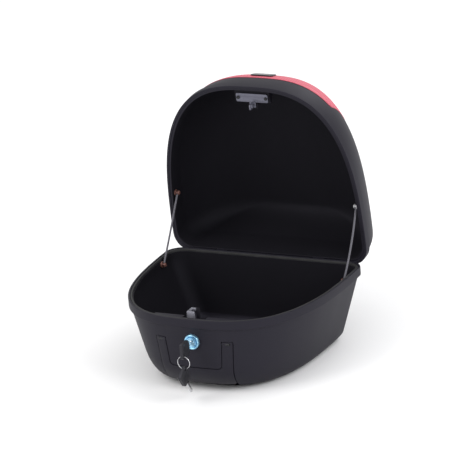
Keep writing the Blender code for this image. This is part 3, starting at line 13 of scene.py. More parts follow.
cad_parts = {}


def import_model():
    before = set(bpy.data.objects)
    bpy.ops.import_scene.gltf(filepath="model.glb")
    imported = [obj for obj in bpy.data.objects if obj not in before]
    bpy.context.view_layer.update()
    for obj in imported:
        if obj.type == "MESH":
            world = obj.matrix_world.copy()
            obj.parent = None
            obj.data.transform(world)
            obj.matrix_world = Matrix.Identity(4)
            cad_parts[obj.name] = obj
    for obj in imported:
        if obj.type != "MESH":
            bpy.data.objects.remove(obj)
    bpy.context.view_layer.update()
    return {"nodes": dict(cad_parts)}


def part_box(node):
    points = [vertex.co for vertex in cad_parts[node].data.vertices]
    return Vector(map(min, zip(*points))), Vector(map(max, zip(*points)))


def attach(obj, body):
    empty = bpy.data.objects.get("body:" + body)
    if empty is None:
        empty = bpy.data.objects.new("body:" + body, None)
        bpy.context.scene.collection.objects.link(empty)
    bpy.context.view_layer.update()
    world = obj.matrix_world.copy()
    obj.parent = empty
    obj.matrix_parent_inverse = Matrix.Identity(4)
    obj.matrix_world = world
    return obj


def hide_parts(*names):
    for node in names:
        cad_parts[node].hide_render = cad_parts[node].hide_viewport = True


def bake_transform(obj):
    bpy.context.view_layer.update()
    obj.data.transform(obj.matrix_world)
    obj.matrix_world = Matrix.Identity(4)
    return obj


log = logging.getLogger("top_case")

Point2 = tuple[float, float]
Point3 = Sequence[float]
Ring = tuple[float, list[Point2]]
Colour = tuple[float, float, float]


class Joining(Enum):
    """How one solid is worked into another."""

    WELD = "UNION"
    CARVE = "DIFFERENCE"
    SHARE = "INTERSECT"


class Side(Enum):
    """The two sides of the case, seen by someone facing the lock."""

    LEFT = -1
    RIGHT = 1


# ---------------------------------------------------------------- node sheets


class Wire:
    """One socket of a node sheet, whose arithmetic adds Math nodes."""

    def __init__(self, sheet: "NodeSheet", socket: bpy.types.NodeSocket) -> None:
        """Keep the sheet and the socket."""
        self.sheet = sheet
        self.socket = socket

    def _math(self, operation: str, first: Any, second: Any = None, third: Any = None) -> "Wire":
        """Add one Math node.

        Args:
            operation: The node's operation.
            first: A wire or a number.
            second: A wire or a number, where the operation has one.
            third: A wire or a number, where the operation has one.

        Returns:
            The node's result.
        """
        inputs = {0: first, 1: second, 2: third}
        return self.sheet.node("ShaderNodeMath", {"operation": operation}, inputs)

    def __add__(self, other: Any) -> "Wire":
        """Return self + other."""
        return self._math("ADD", self, other)

    def __radd__(self, other: Any) -> "Wire":
        """Return other + self."""
        return self._math("ADD", other, self)

    def __sub__(self, other: Any) -> "Wire":
        """Return self - other."""
        return self._math("SUBTRACT", self, other)

    def __rsub__(self, other: Any) -> "Wire":
        """Return other - self."""
        return self._math("SUBTRACT", other, self)

    def __mul__(self, other: Any) -> "Wire":
        """Return self * other."""
        return self._math("MULTIPLY", self, other)

    def __rmul__(self, other: Any) -> "Wire":
        """Return other * self."""
        return self._math("MULTIPLY", other, self)

    def __truediv__(self, other: Any) -> "Wire":
        """Return self / other."""
        return self._math("DIVIDE", self, other)

    def __pow__(self, other: Any) -> "Wire":
        """Return self to the power other."""
        return self._math("POWER", self, other)

    def sine(self) -> "Wire":
        """Return the sine of self."""
        return self._math("SINE", self)

    def above(self, low: float, high: float) -> "Wire":
        """Return 0 below low, 1 above high and a smooth step between them.

        Args:
            low: Where the step starts.
            high: Where the step ends.

        Returns:
            The mask.
        """
        inputs = {0: self, 1: low, 2: high, 3: 0.0, 4: 1.0}
        return self.sheet.node("ShaderNodeMapRange", {"interpolation_type": "SMOOTHSTEP"}, inputs)

    def larger(self, other: Any) -> "Wire":
        """Return the larger of self and other."""
        return self._math("MAXIMUM", self, other)


class NodeSheet:
    """The node tree of one material."""

    def __init__(self, name: str) -> None:
        """Start an empty material.

        Args:
            name: The material's name.
        """
        self.material = bpy.data.materials.new(name)
        self.material.use_nodes = True
        self.tree = self.material.node_tree
        self.tree.nodes.clear()

    def node(
        self,
        kind: str,
        settings: Optional[dict[str, Any]] = None,
        inputs: Optional[dict[Any, Any]] = None,
        output: Any = 0,
    ) -> Wire:
        """Add a node.

        Args:
            kind: The node's type.
            settings: Its properties, set first; stops is a ramp's list of (place, colour).
            inputs: Values or wires for its sockets.
            output: Which output is returned.

        Returns:
            The chosen output.
        """
        made = self.tree.nodes.new(kind)
        for name, value in (settings or {}).items():
            if name == "stops":
                for element, (place, colour) in zip(made.color_ramp.elements, value):
                    element.position = place
                    element.color = (*colour, 1.0)
            else:
                setattr(made, name, value)
        for key, value in (inputs or {}).items():
            if isinstance(value, Wire):
                self.tree.links.new(value.socket, made.inputs[key])
            elif value is not None:
                made.inputs[key].default_value = value
        return Wire(self, made.outputs[output])

    def place(self) -> Wire:
        """Return the Object coordinates."""
        return self.node("ShaderNodeTexCoord", output="Object")

    def stretched(self, scale: Point3, centre: Point3 = (0.0, 0.0, 0.0)) -> Wire:
        """Return Object coordinates moved to a centre and scaled along each axis.

        Args:
            scale: The three scales.
            centre: The point that becomes the origin.

        Returns:
            The coordinates.
        """
        moved = [-c * s for c, s in zip(centre, scale)]
        inputs = {"Vector": self.place(), "Location": moved, "Scale": scale}
        return self.node("ShaderNodeMapping", {"vector_type": "POINT"}, inputs)

    def noise(self, scale: float, detail: float = 2.0, rough: float = 0.5, at: Optional[Wire] = None) -> Wire:
        """Return a noise value about 0.5.

        Args:
            scale: Cells in a metre.
            detail: Octaves.
            rough: Weight of the finer octaves.
            at: Other coordinates than the object's.

        Returns:
            The noise.
        """
        inputs = {"Vector": at or self.place(), "Scale": scale, "Detail": detail, "Roughness": rough}
        return self.node("ShaderNodeTexNoise", None, inputs)

    def cells(self, scale: float, at: Optional[Wire] = None) -> Wire:
        """Return the distance to the nearest of scattered points.

        Args:
            scale: Cells in a metre.
            at: Other coordinates than the object's.

        Returns:
            The distance.
        """
        return self.node("ShaderNodeTexVoronoi", None, {"Vector": at or self.place(), "Scale": scale})

    def tint(self, first: Any, second: Any, amount: Any) -> Wire:
        """Mix two colours.

        Args:
            first: The colour at amount 0.
            second: The colour at amount 1.
            amount: A wire or a number.

        Returns:
            The mixed colour.
        """
        colours = [(*c, 1.0) if isinstance(c, tuple) else c for c in (first, second)]
        inputs = {0: amount, 6: colours[0], 7: colours[1]}
        return self.node("ShaderNodeMix", {"data_type": "RGBA"}, inputs, 2)

    def relief(self, height: Wire, depth: float, strength: float = 1.0) -> Wire:
        """Return a normal from a height.

        Args:
            height: The height, about 0 to 1.
            depth: Metres for a height of 1.
            strength: How much of it is used.

        Returns:
            The normal.
        """
        inputs = {"Strength": strength, "Distance": depth, "Height": height}
        return self.node("ShaderNodeBump", None, inputs)

    def surface(self, **sockets: Any) -> bpy.types.Material:
        """Finish the material with a Principled shader.

        Args:
            sockets: Its sockets, with _ for a space in their names.

        Returns:
            The material.
        """
        inputs = {name.replace("_", " "): value for name, value in sockets.items()}
        shader = self.node("ShaderNodeBsdfPrincipled", None, inputs)
        self.node_output(shader)
        return self.material

    def node_output(self, shader: Wire) -> None:
        """Link a shader to the material's output."""
        out = self.tree.nodes.new("ShaderNodeOutputMaterial")
        self.tree.links.new(shader.socket, out.inputs["Surface"])


# ------------------------------------------------------------------- finishes


@dataclass(frozen=True)
class MouldedPlastic:
    """Spark-textured polypropylene with a fine grain, faint flow marks and light scuffs."""

    name: str = "moulded_shell"
    dark: Colour = (0.0090, 0.0082, 0.0122)
    light: Colour = (0.0132, 0.0123, 0.0176)
    scuff: Colour = (0.034, 0.032, 0.042)
    roughness: float = 0.54
    grain: float = 1500.0
    grain_depth: float = 0.00009
    scuffing: float = 0.35

    def build(self) -> bpy.types.Material:
        """Return the material."""
        sheet = NodeSheet(self.name)
        cloud = sheet.noise(9.0, 3.0, 0.55)
        flow = sheet.noise(26.0, 4.0, 0.6, sheet.stretched((1.0, 1.0, 0.25)))
        grain = sheet.noise(self.grain, 2.0, 0.6)
        pits = sheet.cells(self.grain * 0.62)
        streaks = sheet.noise(70.0, 5.0, 0.7, sheet.stretched((0.35, 1.0, 2.2)))
        worn = streaks.above(0.60, 0.78) * sheet.noise(11.0, 2.0).above(0.46, 0.66) * self.scuffing
        base = sheet.tint(self.dark, self.light, cloud * 0.5 + flow * 0.35 + grain * 0.25)
        colour = sheet.tint(base, self.scuff, worn)
        rough = self.roughness - 0.07 + flow * 0.09 + grain * 0.07 + worn * 0.10
        height = grain * 0.7 + pits * 0.5 + flow * 0.6
        normal = sheet.relief(height, self.grain_depth, 0.75)
        return sheet.surface(
            Base_Color=colour,
            Roughness=rough,
            Normal=normal,
            Specular_IOR_Level=0.24,
            Specular_Tint=(0.86, 0.84, 1.0, 1.0),
        )


@dataclass(frozen=True)
class Rubber:
    """Soft black seal rubber with a dusty bloom."""

    name: str = "seal_rubber"
    dark: Colour = (0.012, 0.012, 0.013)
    bloom: Colour = (0.032, 0.032, 0.034)

    def build(self) -> bpy.types.Material:
        """Return the material."""
        sheet = NodeSheet(self.name)
        dust = sheet.noise(60.0, 4.0, 0.65).above(0.40, 0.72)
        fine = sheet.noise(2400.0, 2.0)
        colour = sheet.tint(self.dark, self.bloom, dust * 0.6 + fine * 0.2)
        normal = sheet.relief(fine, 0.00005, 0.6)
        return sheet.surface(Base_Color=colour, Roughness=0.66 + dust * 0.16, Normal=normal)


@dataclass(frozen=True)
class ReflectorPlastic:
    """Clear red plastic with the small corner prisms of a reflector behind a glossy face, with a painted
    highlight in its bright pink tone and a faint painted glow.
    """

    name: str = "reflector_red"
    deep: Colour = (0.40, 0.055, 0.085)
    # The bright pink tone is a painted highlight.
    bright: Colour = (0.64, 0.15, 0.20)
    pitch: float = 0.0030

    def build(self) -> bpy.types.Material:
        """Return the material."""
        sheet = NodeSheet(self.name)
        turns = 2 * math.pi / self.pitch
        axes = sheet.node("ShaderNodeSeparateXYZ", None, {0: sheet.place()}, "X")
        heights = Wire(sheet, axes.socket.node.outputs["Z"])
        half = math.sqrt(3) / 2
        first = (axes * turns).sine()
        second = ((axes * 0.5 + heights * half) * turns).sine()
        third = ((axes * 0.5 - heights * half) * turns).sine()
        prisms = (first + second + third) * 0.17 + 0.5
        cloud = sheet.noise(22.0, 2.0)
        fine = sheet.noise(600.0, 2.0)
        # The prism pattern is the lens's own; the bright pink tone it mixes in is a painted highlight.
        colour = sheet.tint(self.deep, self.bright, prisms * 0.7 + cloud * 0.3)
        normal = sheet.relief(prisms + fine * 0.08, 0.0004, 0.35)
        return sheet.surface(
            Base_Color=colour,
            Roughness=0.42 + cloud * 0.12 + fine * 0.05,
            Normal=normal,
            Specular_IOR_Level=0.22,
            # A faint emission in the lens's own colour: a painted glow.
            Emission_Color=colour,
            Emission_Strength=0.10,
        )


@dataclass(frozen=True)
class Metal:
    """Plain metal with fine scratches along one axis and small dull spots."""

    name: str = "bright_steel"
    dark: Colour = (0.38, 0.38, 0.40)
    light: Colour = (0.66, 0.66, 0.68)
    roughness: float = 0.28
    metallic: float = 1.0
    grain: Point3 = (1.0, 8.0, 8.0)
    depth: float = 0.00004

    def build(self) -> bpy.types.Material:
        """Return the material."""
        sheet = NodeSheet(self.name)
        lines = sheet.noise(420.0, 4.0, 0.7, sheet.stretched(self.grain))
        spots = sheet.noise(260.0, 3.0, 0.6).above(0.52, 0.72)
        colour = sheet.tint(self.dark, self.light, lines * 0.9 - spots * 0.25)
        rough = self.roughness - 0.06 + lines * 0.14 + spots * 0.14
        normal = sheet.relief(lines + spots * 0.3, self.depth, 0.6)
        return sheet.surface(
            Base_Color=colour, Roughness=rough, Metallic=self.metallic - 0.2 * spots, Normal=normal
        )


@dataclass(frozen=True)
class TurnedMetal:
    """Anodised metal with the fine rings that a lathe leaves about an axis along Y."""

    name: str = "anodised_blue"
    dark: Colour = (0.16, 0.40, 0.62)
    light: Colour = (0.42, 0.72, 0.92)
    centre: Point3 = (0.0, 0.0, 0.0)
    roughness: float = 0.22

    def build(self) -> bpy.types.Material:
        """Return the material."""
        sheet = NodeSheet(self.name)
        flat = sheet.stretched((1.0, 0.0, 1.0), self.centre)
        radius = sheet.node("ShaderNodeVectorMath", {"operation": "LENGTH"}, {0: flat}, "Value")
        rings = (radius * (2 * math.pi / 0.00055)).sine() * 0.5 + 0.5
        cloud = sheet.noise(180.0, 3.0)
        fine = sheet.noise(1800.0, 2.0)
        colour = sheet.tint(self.dark, self.light, rings * 0.35 + cloud * 0.8)
        rough = self.roughness - 0.05 + cloud * 0.12 + fine * 0.06
        normal = sheet.relief(rings * 0.5 + fine * 0.4, 0.00005, 0.5)
        return sheet.surface(Base_Color=colour, Roughness=rough, Metallic=0.88 + cloud * 0.1, Normal=normal)


@dataclass(frozen=True)
class BraidedCord:
    """Grey braided cord, patterned by the tube's own along and around attributes, with painted shade in the
    grooves between strands.
    """

    name: str = "grey_braid"
    dark: Colour = (0.040, 0.038, 0.046)
    light: Colour = (0.135, 0.130, 0.155)
    pitch: float = 0.0022

    def build(self) -> bpy.types.Material:
        """Return the material."""
        sheet = NodeSheet(self.name)
        along = sheet.node("ShaderNodeAttribute", {"attribute_name": "along"}, None, "Fac")
        around = sheet.node("ShaderNodeAttribute", {"attribute_name": "around"}, None, "Fac")
        step = 2 * math.pi / self.pitch
        strands = ((along * step + around * 4.0).sine()).larger((along * step - around * 4.0).sine())
        fluff = sheet.noise(2600.0, 3.0, 0.7)
        # The colour follows the strand height, so the grooves between strands are darker: painted shade.
        colour = sheet.tint(self.dark, self.light, strands * 0.4 + 0.35 + fluff * 0.3)
        normal = sheet.relief(strands * 0.5 + fluff * 0.3, 0.0003, 0.8)
        return sheet.surface(
            Base_Color=colour,
            Roughness=0.62 + fluff * 0.2,
            Normal=normal,
            Sheen_Weight=0.25,
            Sheen_Roughness=0.5,
        )


@dataclass(frozen=True)
class FloorPaint:
    """Pale matt studio floor."""

    name: str = "studio_floor"

    def build(self) -> bpy.types.Material:
        """Return the material."""
        sheet = NodeSheet(self.name)
        cloud = sheet.noise(0.6, 2.0)
        colour = sheet.tint((0.90, 0.90, 0.905), (0.93, 0.93, 0.935), cloud)
        return sheet.surface(Base_Color=colour, Roughness=0.85 + cloud * 0.08, Specular_IOR_Level=0.1)


class Finishes:
    """Every finish of the case, each built once."""

    def __init__(self, lock_centre: Point3) -> None:
        """Build the materials.

        Args:
            lock_centre: A point on the lock's axis.
        """
        self.shell = MouldedPlastic().build()
        # The inside plastic is a coarser, darker copy of the shell plastic: its grain is the plastic's own,
        # and its extra darkness is painted shade of the case's interior.
        self.inside = MouldedPlastic(
            name="inside_plastic_painted_shade",
            dark=(0.0040, 0.0037, 0.0052),
            light=(0.0066, 0.0062, 0.0084),
            scuff=(0.018, 0.017, 0.022),
            roughness=0.68,
            grain=700.0,
            grain_depth=0.00012,
            scuffing=0.25,
        ).build()
        self.handle = MouldedPlastic(
            name="moulded_handle",
            dark=(0.0080, 0.0072, 0.0108),
            light=(0.0120, 0.0111, 0.0160),
            roughness=0.44,
        ).build()
        self.rack = MouldedPlastic(
            name="rack_plastic",
            dark=(0.020, 0.020, 0.022),
            light=(0.032, 0.032, 0.036),
            roughness=0.56,
            grain=900.0,
            grain_depth=0.00014,
            scuffing=0.6,
        ).build()
        self.gloss = MouldedPlastic(
            name="badge_black",
            dark=(0.010, 0.010, 0.012),
            light=(0.018, 0.018, 0.021),
            roughness=0.22,
            grain=2200.0,
            grain_depth=0.00002,
            scuffing=0.2,
        ).build()
        self.bow = MouldedPlastic(
            name="key_bow_plastic",
            dark=(0.014, 0.014, 0.016),
            light=(0.030, 0.030, 0.034),
            scuff=(0.09, 0.09, 0.10),
            roughness=0.40,
            grain=2600.0,
            grain_depth=0.00004,
            scuffing=0.7,
        ).build()
        self.rubber = Rubber().build()
        self.lens = ReflectorPlastic().build()
        self.lens_base = Metal(
            name="lens_backing",
            dark=(0.42, 0.07, 0.09),
            light=(0.62, 0.16, 0.19),
            roughness=0.35,
            metallic=0.5,
        ).build()
        self.steel = Metal().build()
        self.dark_pin = Metal(
            name="blackened_pin",
            dark=(0.020, 0.020, 0.022),
            light=(0.045, 0.045, 0.050),
            roughness=0.48,
            metallic=0.6,
        ).build()
        self.blade = Metal(
            name="nickel_blade", dark=(0.52, 0.52, 0.54), light=(0.82, 0.82, 0.84), roughness=0.20
        ).build()
        self.catch = Metal(
            name="zinc_catch",
            dark=(0.095, 0.095, 0.125),
            light=(0.20, 0.20, 0.25),
            roughness=0.42,
            metallic=0.65,
        ).build()
        self.tongue = Metal(
            name="plated_tongue",
            dark=(0.20, 0.20, 0.24),
            light=(0.40, 0.40, 0.45),
            roughness=0.42,
            metallic=0.7,
        ).build()
        self.rivet = Metal(
            name="brown_rivet",
            dark=(0.10, 0.040, 0.032),
            light=(0.26, 0.13, 0.11),
            roughness=0.36,
            metallic=0.35,
        ).build()
        self.pale = Metal(
            name="pale_rivet",
            dark=(0.42, 0.42, 0.44),
            light=(0.68, 0.68, 0.70),
            roughness=0.36,
            metallic=0.45,
        ).build()
        self.bezel = TurnedMetal(centre=lock_centre).build()
        self.plug = TurnedMetal(
            name="anodised_plug", dark=(0.22, 0.46, 0.66), light=(0.50, 0.78, 0.95), centre=lock_centre
        ).build()
        self.cord = BraidedCord().build()
        self.floor = FloorPaint().build()


# ------------------------------------------------------------------ workbench


class Workpiece:
    """A solid on the bench, shaped with mesh operators."""

    def __init__(self, name: str) -> None:
        """Start an empty solid.

        Args:
            name: The piece's name.
        """
        self.name = name
        self.bm = bmesh.new()

    @classmethod
    def from_node(cls, node: str, name: str) -> "Workpiece":
        """Start from a merged copy of a CAD node's mesh.

        Args:
            node: The CAD node.
            name: The piece's name.

        Returns:
            The solid.
        """
        work = cls(name)
        work.bm.from_mesh(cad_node(node).data)
        bmesh.ops.remove_doubles(work.bm, verts=work.bm.verts[:], dist=1e-6)
        bmesh.ops.dissolve_limit(
            work.bm,
            angle_limit=math.radians(0.6),
            verts=work.bm.verts[:],
            edges=work.bm.edges[:],
            use_dissolve_boundaries=False,
        )
        return work

    def block(self, low: Point3, high: Point3) -> "Workpiece":
        """Add a box between two corners and return self."""
        size = Vector(high) - Vector(low)
        matrix = Matrix.Translation((Vector(high) + Vector(low)) / 2) @ Matrix.Diagonal((*size, 1.0))
        bmesh.ops.create_cube(self.bm, size=1.0, matrix=matrix)
        return self

    def rod(
        self, start: Point3, end: Point3, radius: float, tip: Optional[float] = None, segments: int = 48
    ) -> "Workpiece":
        """Add a round bar or a cone.

        Args:
            start: The middle of its first end.
            end: The middle of its second end.
            radius: The radius at the first end.
            tip: The radius at the second end, if it is another.
            segments: Sides.

        Returns:
            Self.
        """
        along = Vector(end) - Vector(start)
        turn = along.to_track_quat("Z", "Y").to_matrix().to_4x4()
        matrix = Matrix.Translation((Vector(start) + Vector(end)) / 2) @ turn
        bmesh.ops.create_cone(
            self.bm,
            cap_ends=True,
            segments=segments,
            radius1=radius,
            radius2=radius if tip is None else tip,
            depth=along.length,
            matrix=matrix,
        )
        return self

    def prism(
        self,
        corners: Sequence[Point2],
        low: float,
        high: float,
        axis: str = "Y",
        radius: float = 0.0,
        rounded: Optional[Sequence[int]] = None,
        steps: int = 6,
    ) -> "Workpiece":
        """Add a prism drawn out from a polygon, with round upright edges.

        Args:
            corners: The polygon, as (x, z) for Y, (y, z) for X and (x, y) for Z.
            low: Where it starts on the axis.
            high: Where it ends on the axis.
            axis: The axis's letter.
            radius: The radius of its upright edges.
            rounded: Which corners are rounded; all of them if None.
            steps: Segments of a round edge.

        Returns:
            Self.
        """
        lift: dict[str, Callable[[float, float], Vector]] = {
            "X": lambda a, b: Vector((low, a, b)),
            "Y": lambda a, b: Vector((a, low, b)),
            "Z": lambda a, b: Vector((a, b, low)),
        }
        step = {"X": Vector((1, 0, 0)), "Y": Vector((0, 1, 0)), "Z": Vector((0, 0, 1))}[axis]
        base = [self.bm.verts.new(lift[axis](a, b)) for a, b in corners]
        face = self.bm.faces.new(base)
        drawn = bmesh.ops.extrude_face_region(self.bm, geom=[face], use_keep_orig=True)
        top = [v for v in drawn["geom"] if isinstance(v, bmesh.types.BMVert)]
        bmesh.ops.translate(self.bm, verts=top, vec=step * (high - low))
        chosen = base if rounded is None else [base[i] for i in rounded]
        if radius > 0:
            uprights = [
                e
                for v in chosen
                for e in v.link_edges
                if abs((e.verts[0].co - e.verts[1].co).dot(step)) > 1e-7
            ]
            self._bevel(uprights, radius, steps)
        bmesh.ops.recalc_face_normals(self.bm, faces=self.bm.faces[:])
        return self

    def _bevel(self, edges: Sequence[bmesh.types.BMEdge], width: float, steps: int) -> None:
        """Round edges by a width in a number of steps."""
        bmesh.ops.bevel(
            self.bm,
            geom=list(edges),
            offset=width,
            offset_type="OFFSET",
            segments=steps,
            profile=0.5,
            affect="EDGES",
            clamp_overlap=True,
            material=-1,
        )

    def walls(self, rings: Sequence[Ring], closed: bool = False) -> "Workpiece":
        """Draw a wall out ring by ring from one closed loop.

        Args:
            rings: Height and points of each ring, all with the same count.
            closed: Whether the last ring meets the first; if not, both ends get a face.

        Returns:
            Self.
        """
        station = self.bm.verts.layers.int.new("station")
        made = bmesh.ops.create_circle(self.bm, segments=len(rings[0][1]), radius=1.0)
        loop = made["verts"]
        for k, vert in enumerate(loop):
            vert[station] = k
        edges = list({e for v in loop for e in v.link_edges})
        first = edges
        for count, (height, points) in enumerate(rings):
            if count:
                drawn = bmesh.ops.extrude_edge_only(self.bm, edges=edges)["geom"]
                loop = [g for g in drawn if isinstance(g, bmesh.types.BMVert)]
                members = set(loop)
                edges = [
                    g
                    for g in drawn
                    if isinstance(g, bmesh.types.BMEdge) and g.verts[0] in members and g.verts[1] in members
                ]
            for vert in loop:
                x, y = points[vert[station]]
                vert.co = (x, y, height)
        if closed:
            bmesh.ops.bridge_loops(self.bm, edges=first + edges)
        else:
            bmesh.ops.edgeloop_fill(self.bm, edges=first)
            bmesh.ops.edgeloop_fill(self.bm, edges=edges)
        bmesh.ops.recalc_face_normals(self.bm, faces=self.bm.faces[:])
        return self

    def soften(
        self,
        width: float,
        steps: int = 2,
        angle: float = 40.0,
        where: Optional[Callable[[Vector], bool]] = None,
    ) -> "Workpiece":
        """Round every edge that is sharper than an angle.

        Args:
            width: The rounding's width.
            steps: Its segments.
            angle: The least angle between the faces, in degrees.
            where: A test on an edge's middle, for part of the solid only.

        Returns:
            Self.
        """
        limit = math.radians(angle)
        edges = []
        for edge in self.bm.edges:
            if len(edge.link_faces) != 2 or edge.calc_face_angle(0.0) < limit:
                continue
            if where is None or where((edge.verts[0].co + edge.verts[1].co) / 2):
                edges.append(edge)
        self._bevel(edges, width, steps)
        return self

    def turn(self, matrix: Matrix) -> "Workpiece":
        """Move the whole solid by a matrix and return self."""
        bmesh.ops.transform(self.bm, matrix=matrix, verts=self.bm.verts[:])
        return self

    def _object(self) -> bpy.types.Object:
        """Return the solid as a scene object and free the bench mesh."""
        mesh = bpy.data.meshes.new(self.name)
        self.bm.to_mesh(mesh)
        self.bm.free()
        obj = bpy.data.objects.new(self.name, mesh)
        bpy.context.scene.collection.objects.link(obj)
        return obj

    def work(self, other: "Workpiece", joining: Joining) -> "Workpiece":
        """Weld another solid on, carve it away or keep what both share.

        Args:
            other: The other solid, which is used up.
            joining: How they are joined.

        Returns:
            Self.
        """
        mine = self._object()
        tool = other._object()
        step = mine.modifiers.new("joining", "BOOLEAN")
        step.operation = joining.value
        step.solver = "EXACT"
        step.object = tool
        graph = bpy.context.evaluated_depsgraph_get()
        mesh = bpy.data.meshes.new_from_object(mine.evaluated_get(graph))
        self.bm = bmesh.new()
        self.bm.from_mesh(mesh)
        for obj in (mine, tool):
            old = obj.data
            bpy.data.objects.remove(obj)
            bpy.data.meshes.remove(old)
        bpy.data.meshes.remove(mesh)
        return self

    def weld(self, other: "Workpiece") -> "Workpiece":
        """Weld another solid on and return self."""
        return self.work(other, Joining.WELD)

    def carve(self, other: "Workpiece") -> "Workpiece":
        """Carve another solid away and return self."""
        return self.work(other, Joining.CARVE)

    def share(self, other: "Workpiece") -> "Workpiece":
        """Keep what both solids share and return self."""
        return self.work(other, Joining.SHARE)

    def paint_inside_shade(self, is_inside: Callable[[bmesh.types.BMFace], bool]) -> "Workpiece":
        """Give the faces that pass a test the second material, the darker one with painted shade, and return
        self.
        """
        for face in self.bm.faces:
            face.material_index = 1 if is_inside(face) else 0
        return self

    def finish(self, materials: Sequence[bpy.types.Material], sharp: float = 32.0) -> bpy.types.Object:
        """Turn the solid into a finished piece with smooth faces and crisp edges.

        Args:
            materials: Its materials.
            sharp: The angle in degrees past which an edge stays crisp.

        Returns:
            The object.
        """
        bmesh.ops.remove_doubles(self.bm, verts=self.bm.verts[:], dist=2e-6)
        bmesh.ops.dissolve_degenerate(self.bm, dist=1e-6, edges=self.bm.edges[:])
        limit = math.radians(sharp)
        for face in self.bm.faces:
            face.smooth = True
        for edge in self.bm.edges:
            edge.smooth = len(edge.link_faces) == 2 and edge.calc_face_angle(0.0) < limit
        obj = self._object()
        for material in materials:
            obj.data.materials.append(material)
        return obj


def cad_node(name: str) -> bpy.types.Object:
    """Return a CAD node's object."""
    return Bench.nodes[name]


class Bench:
    """Fits finished pieces to the frame and logs the face count of each."""

    nodes: dict[str, bpy.types.Object] = {}

    @staticmethod
    def fit(obj: bpy.types.Object, body: str, nodes: Sequence[str], slot: str) -> bpy.types.Object:
        """Make a piece ride on a body in place of CAD nodes.

        Args:
            obj: The piece.
            body: The CAD body.
            nodes: The nodes it stands for.
            slot: A material slot's name; not used.

        Returns:
            The piece.
        """
        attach(obj, body)
        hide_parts(*nodes)
        log.info("%s on %s: %d faces", obj.name, body, len(obj.data.polygons))
        return obj

    @classmethod
    def refine(
        cls,
        node: str,
        name: str,
        body: str,
        slot: str,
        material: bpy.types.Material,
        edge: float = 0.0003,
        sharp: float = 32.0,
    ) -> bpy.types.Object:
        """Stand a smooth copy with broken edges in for a CAD node.

        Args:
            node: The CAD node.
            name: The piece's name.
            body: The CAD body.
            slot: A material slot's name; not used.
            material: The finish.
            edge: How far its edges are broken; 0 leaves them.
            sharp: The angle past which an edge stays crisp.

        Returns:
            The piece.
        """
        work = Workpiece.from_node(node, name)
        if edge > 0:
            work.soften(edge, 2, 50.0)
        return cls.fit(work.finish([material], sharp), body, [node], slot)


# ------------------------------------------------------------------ case form


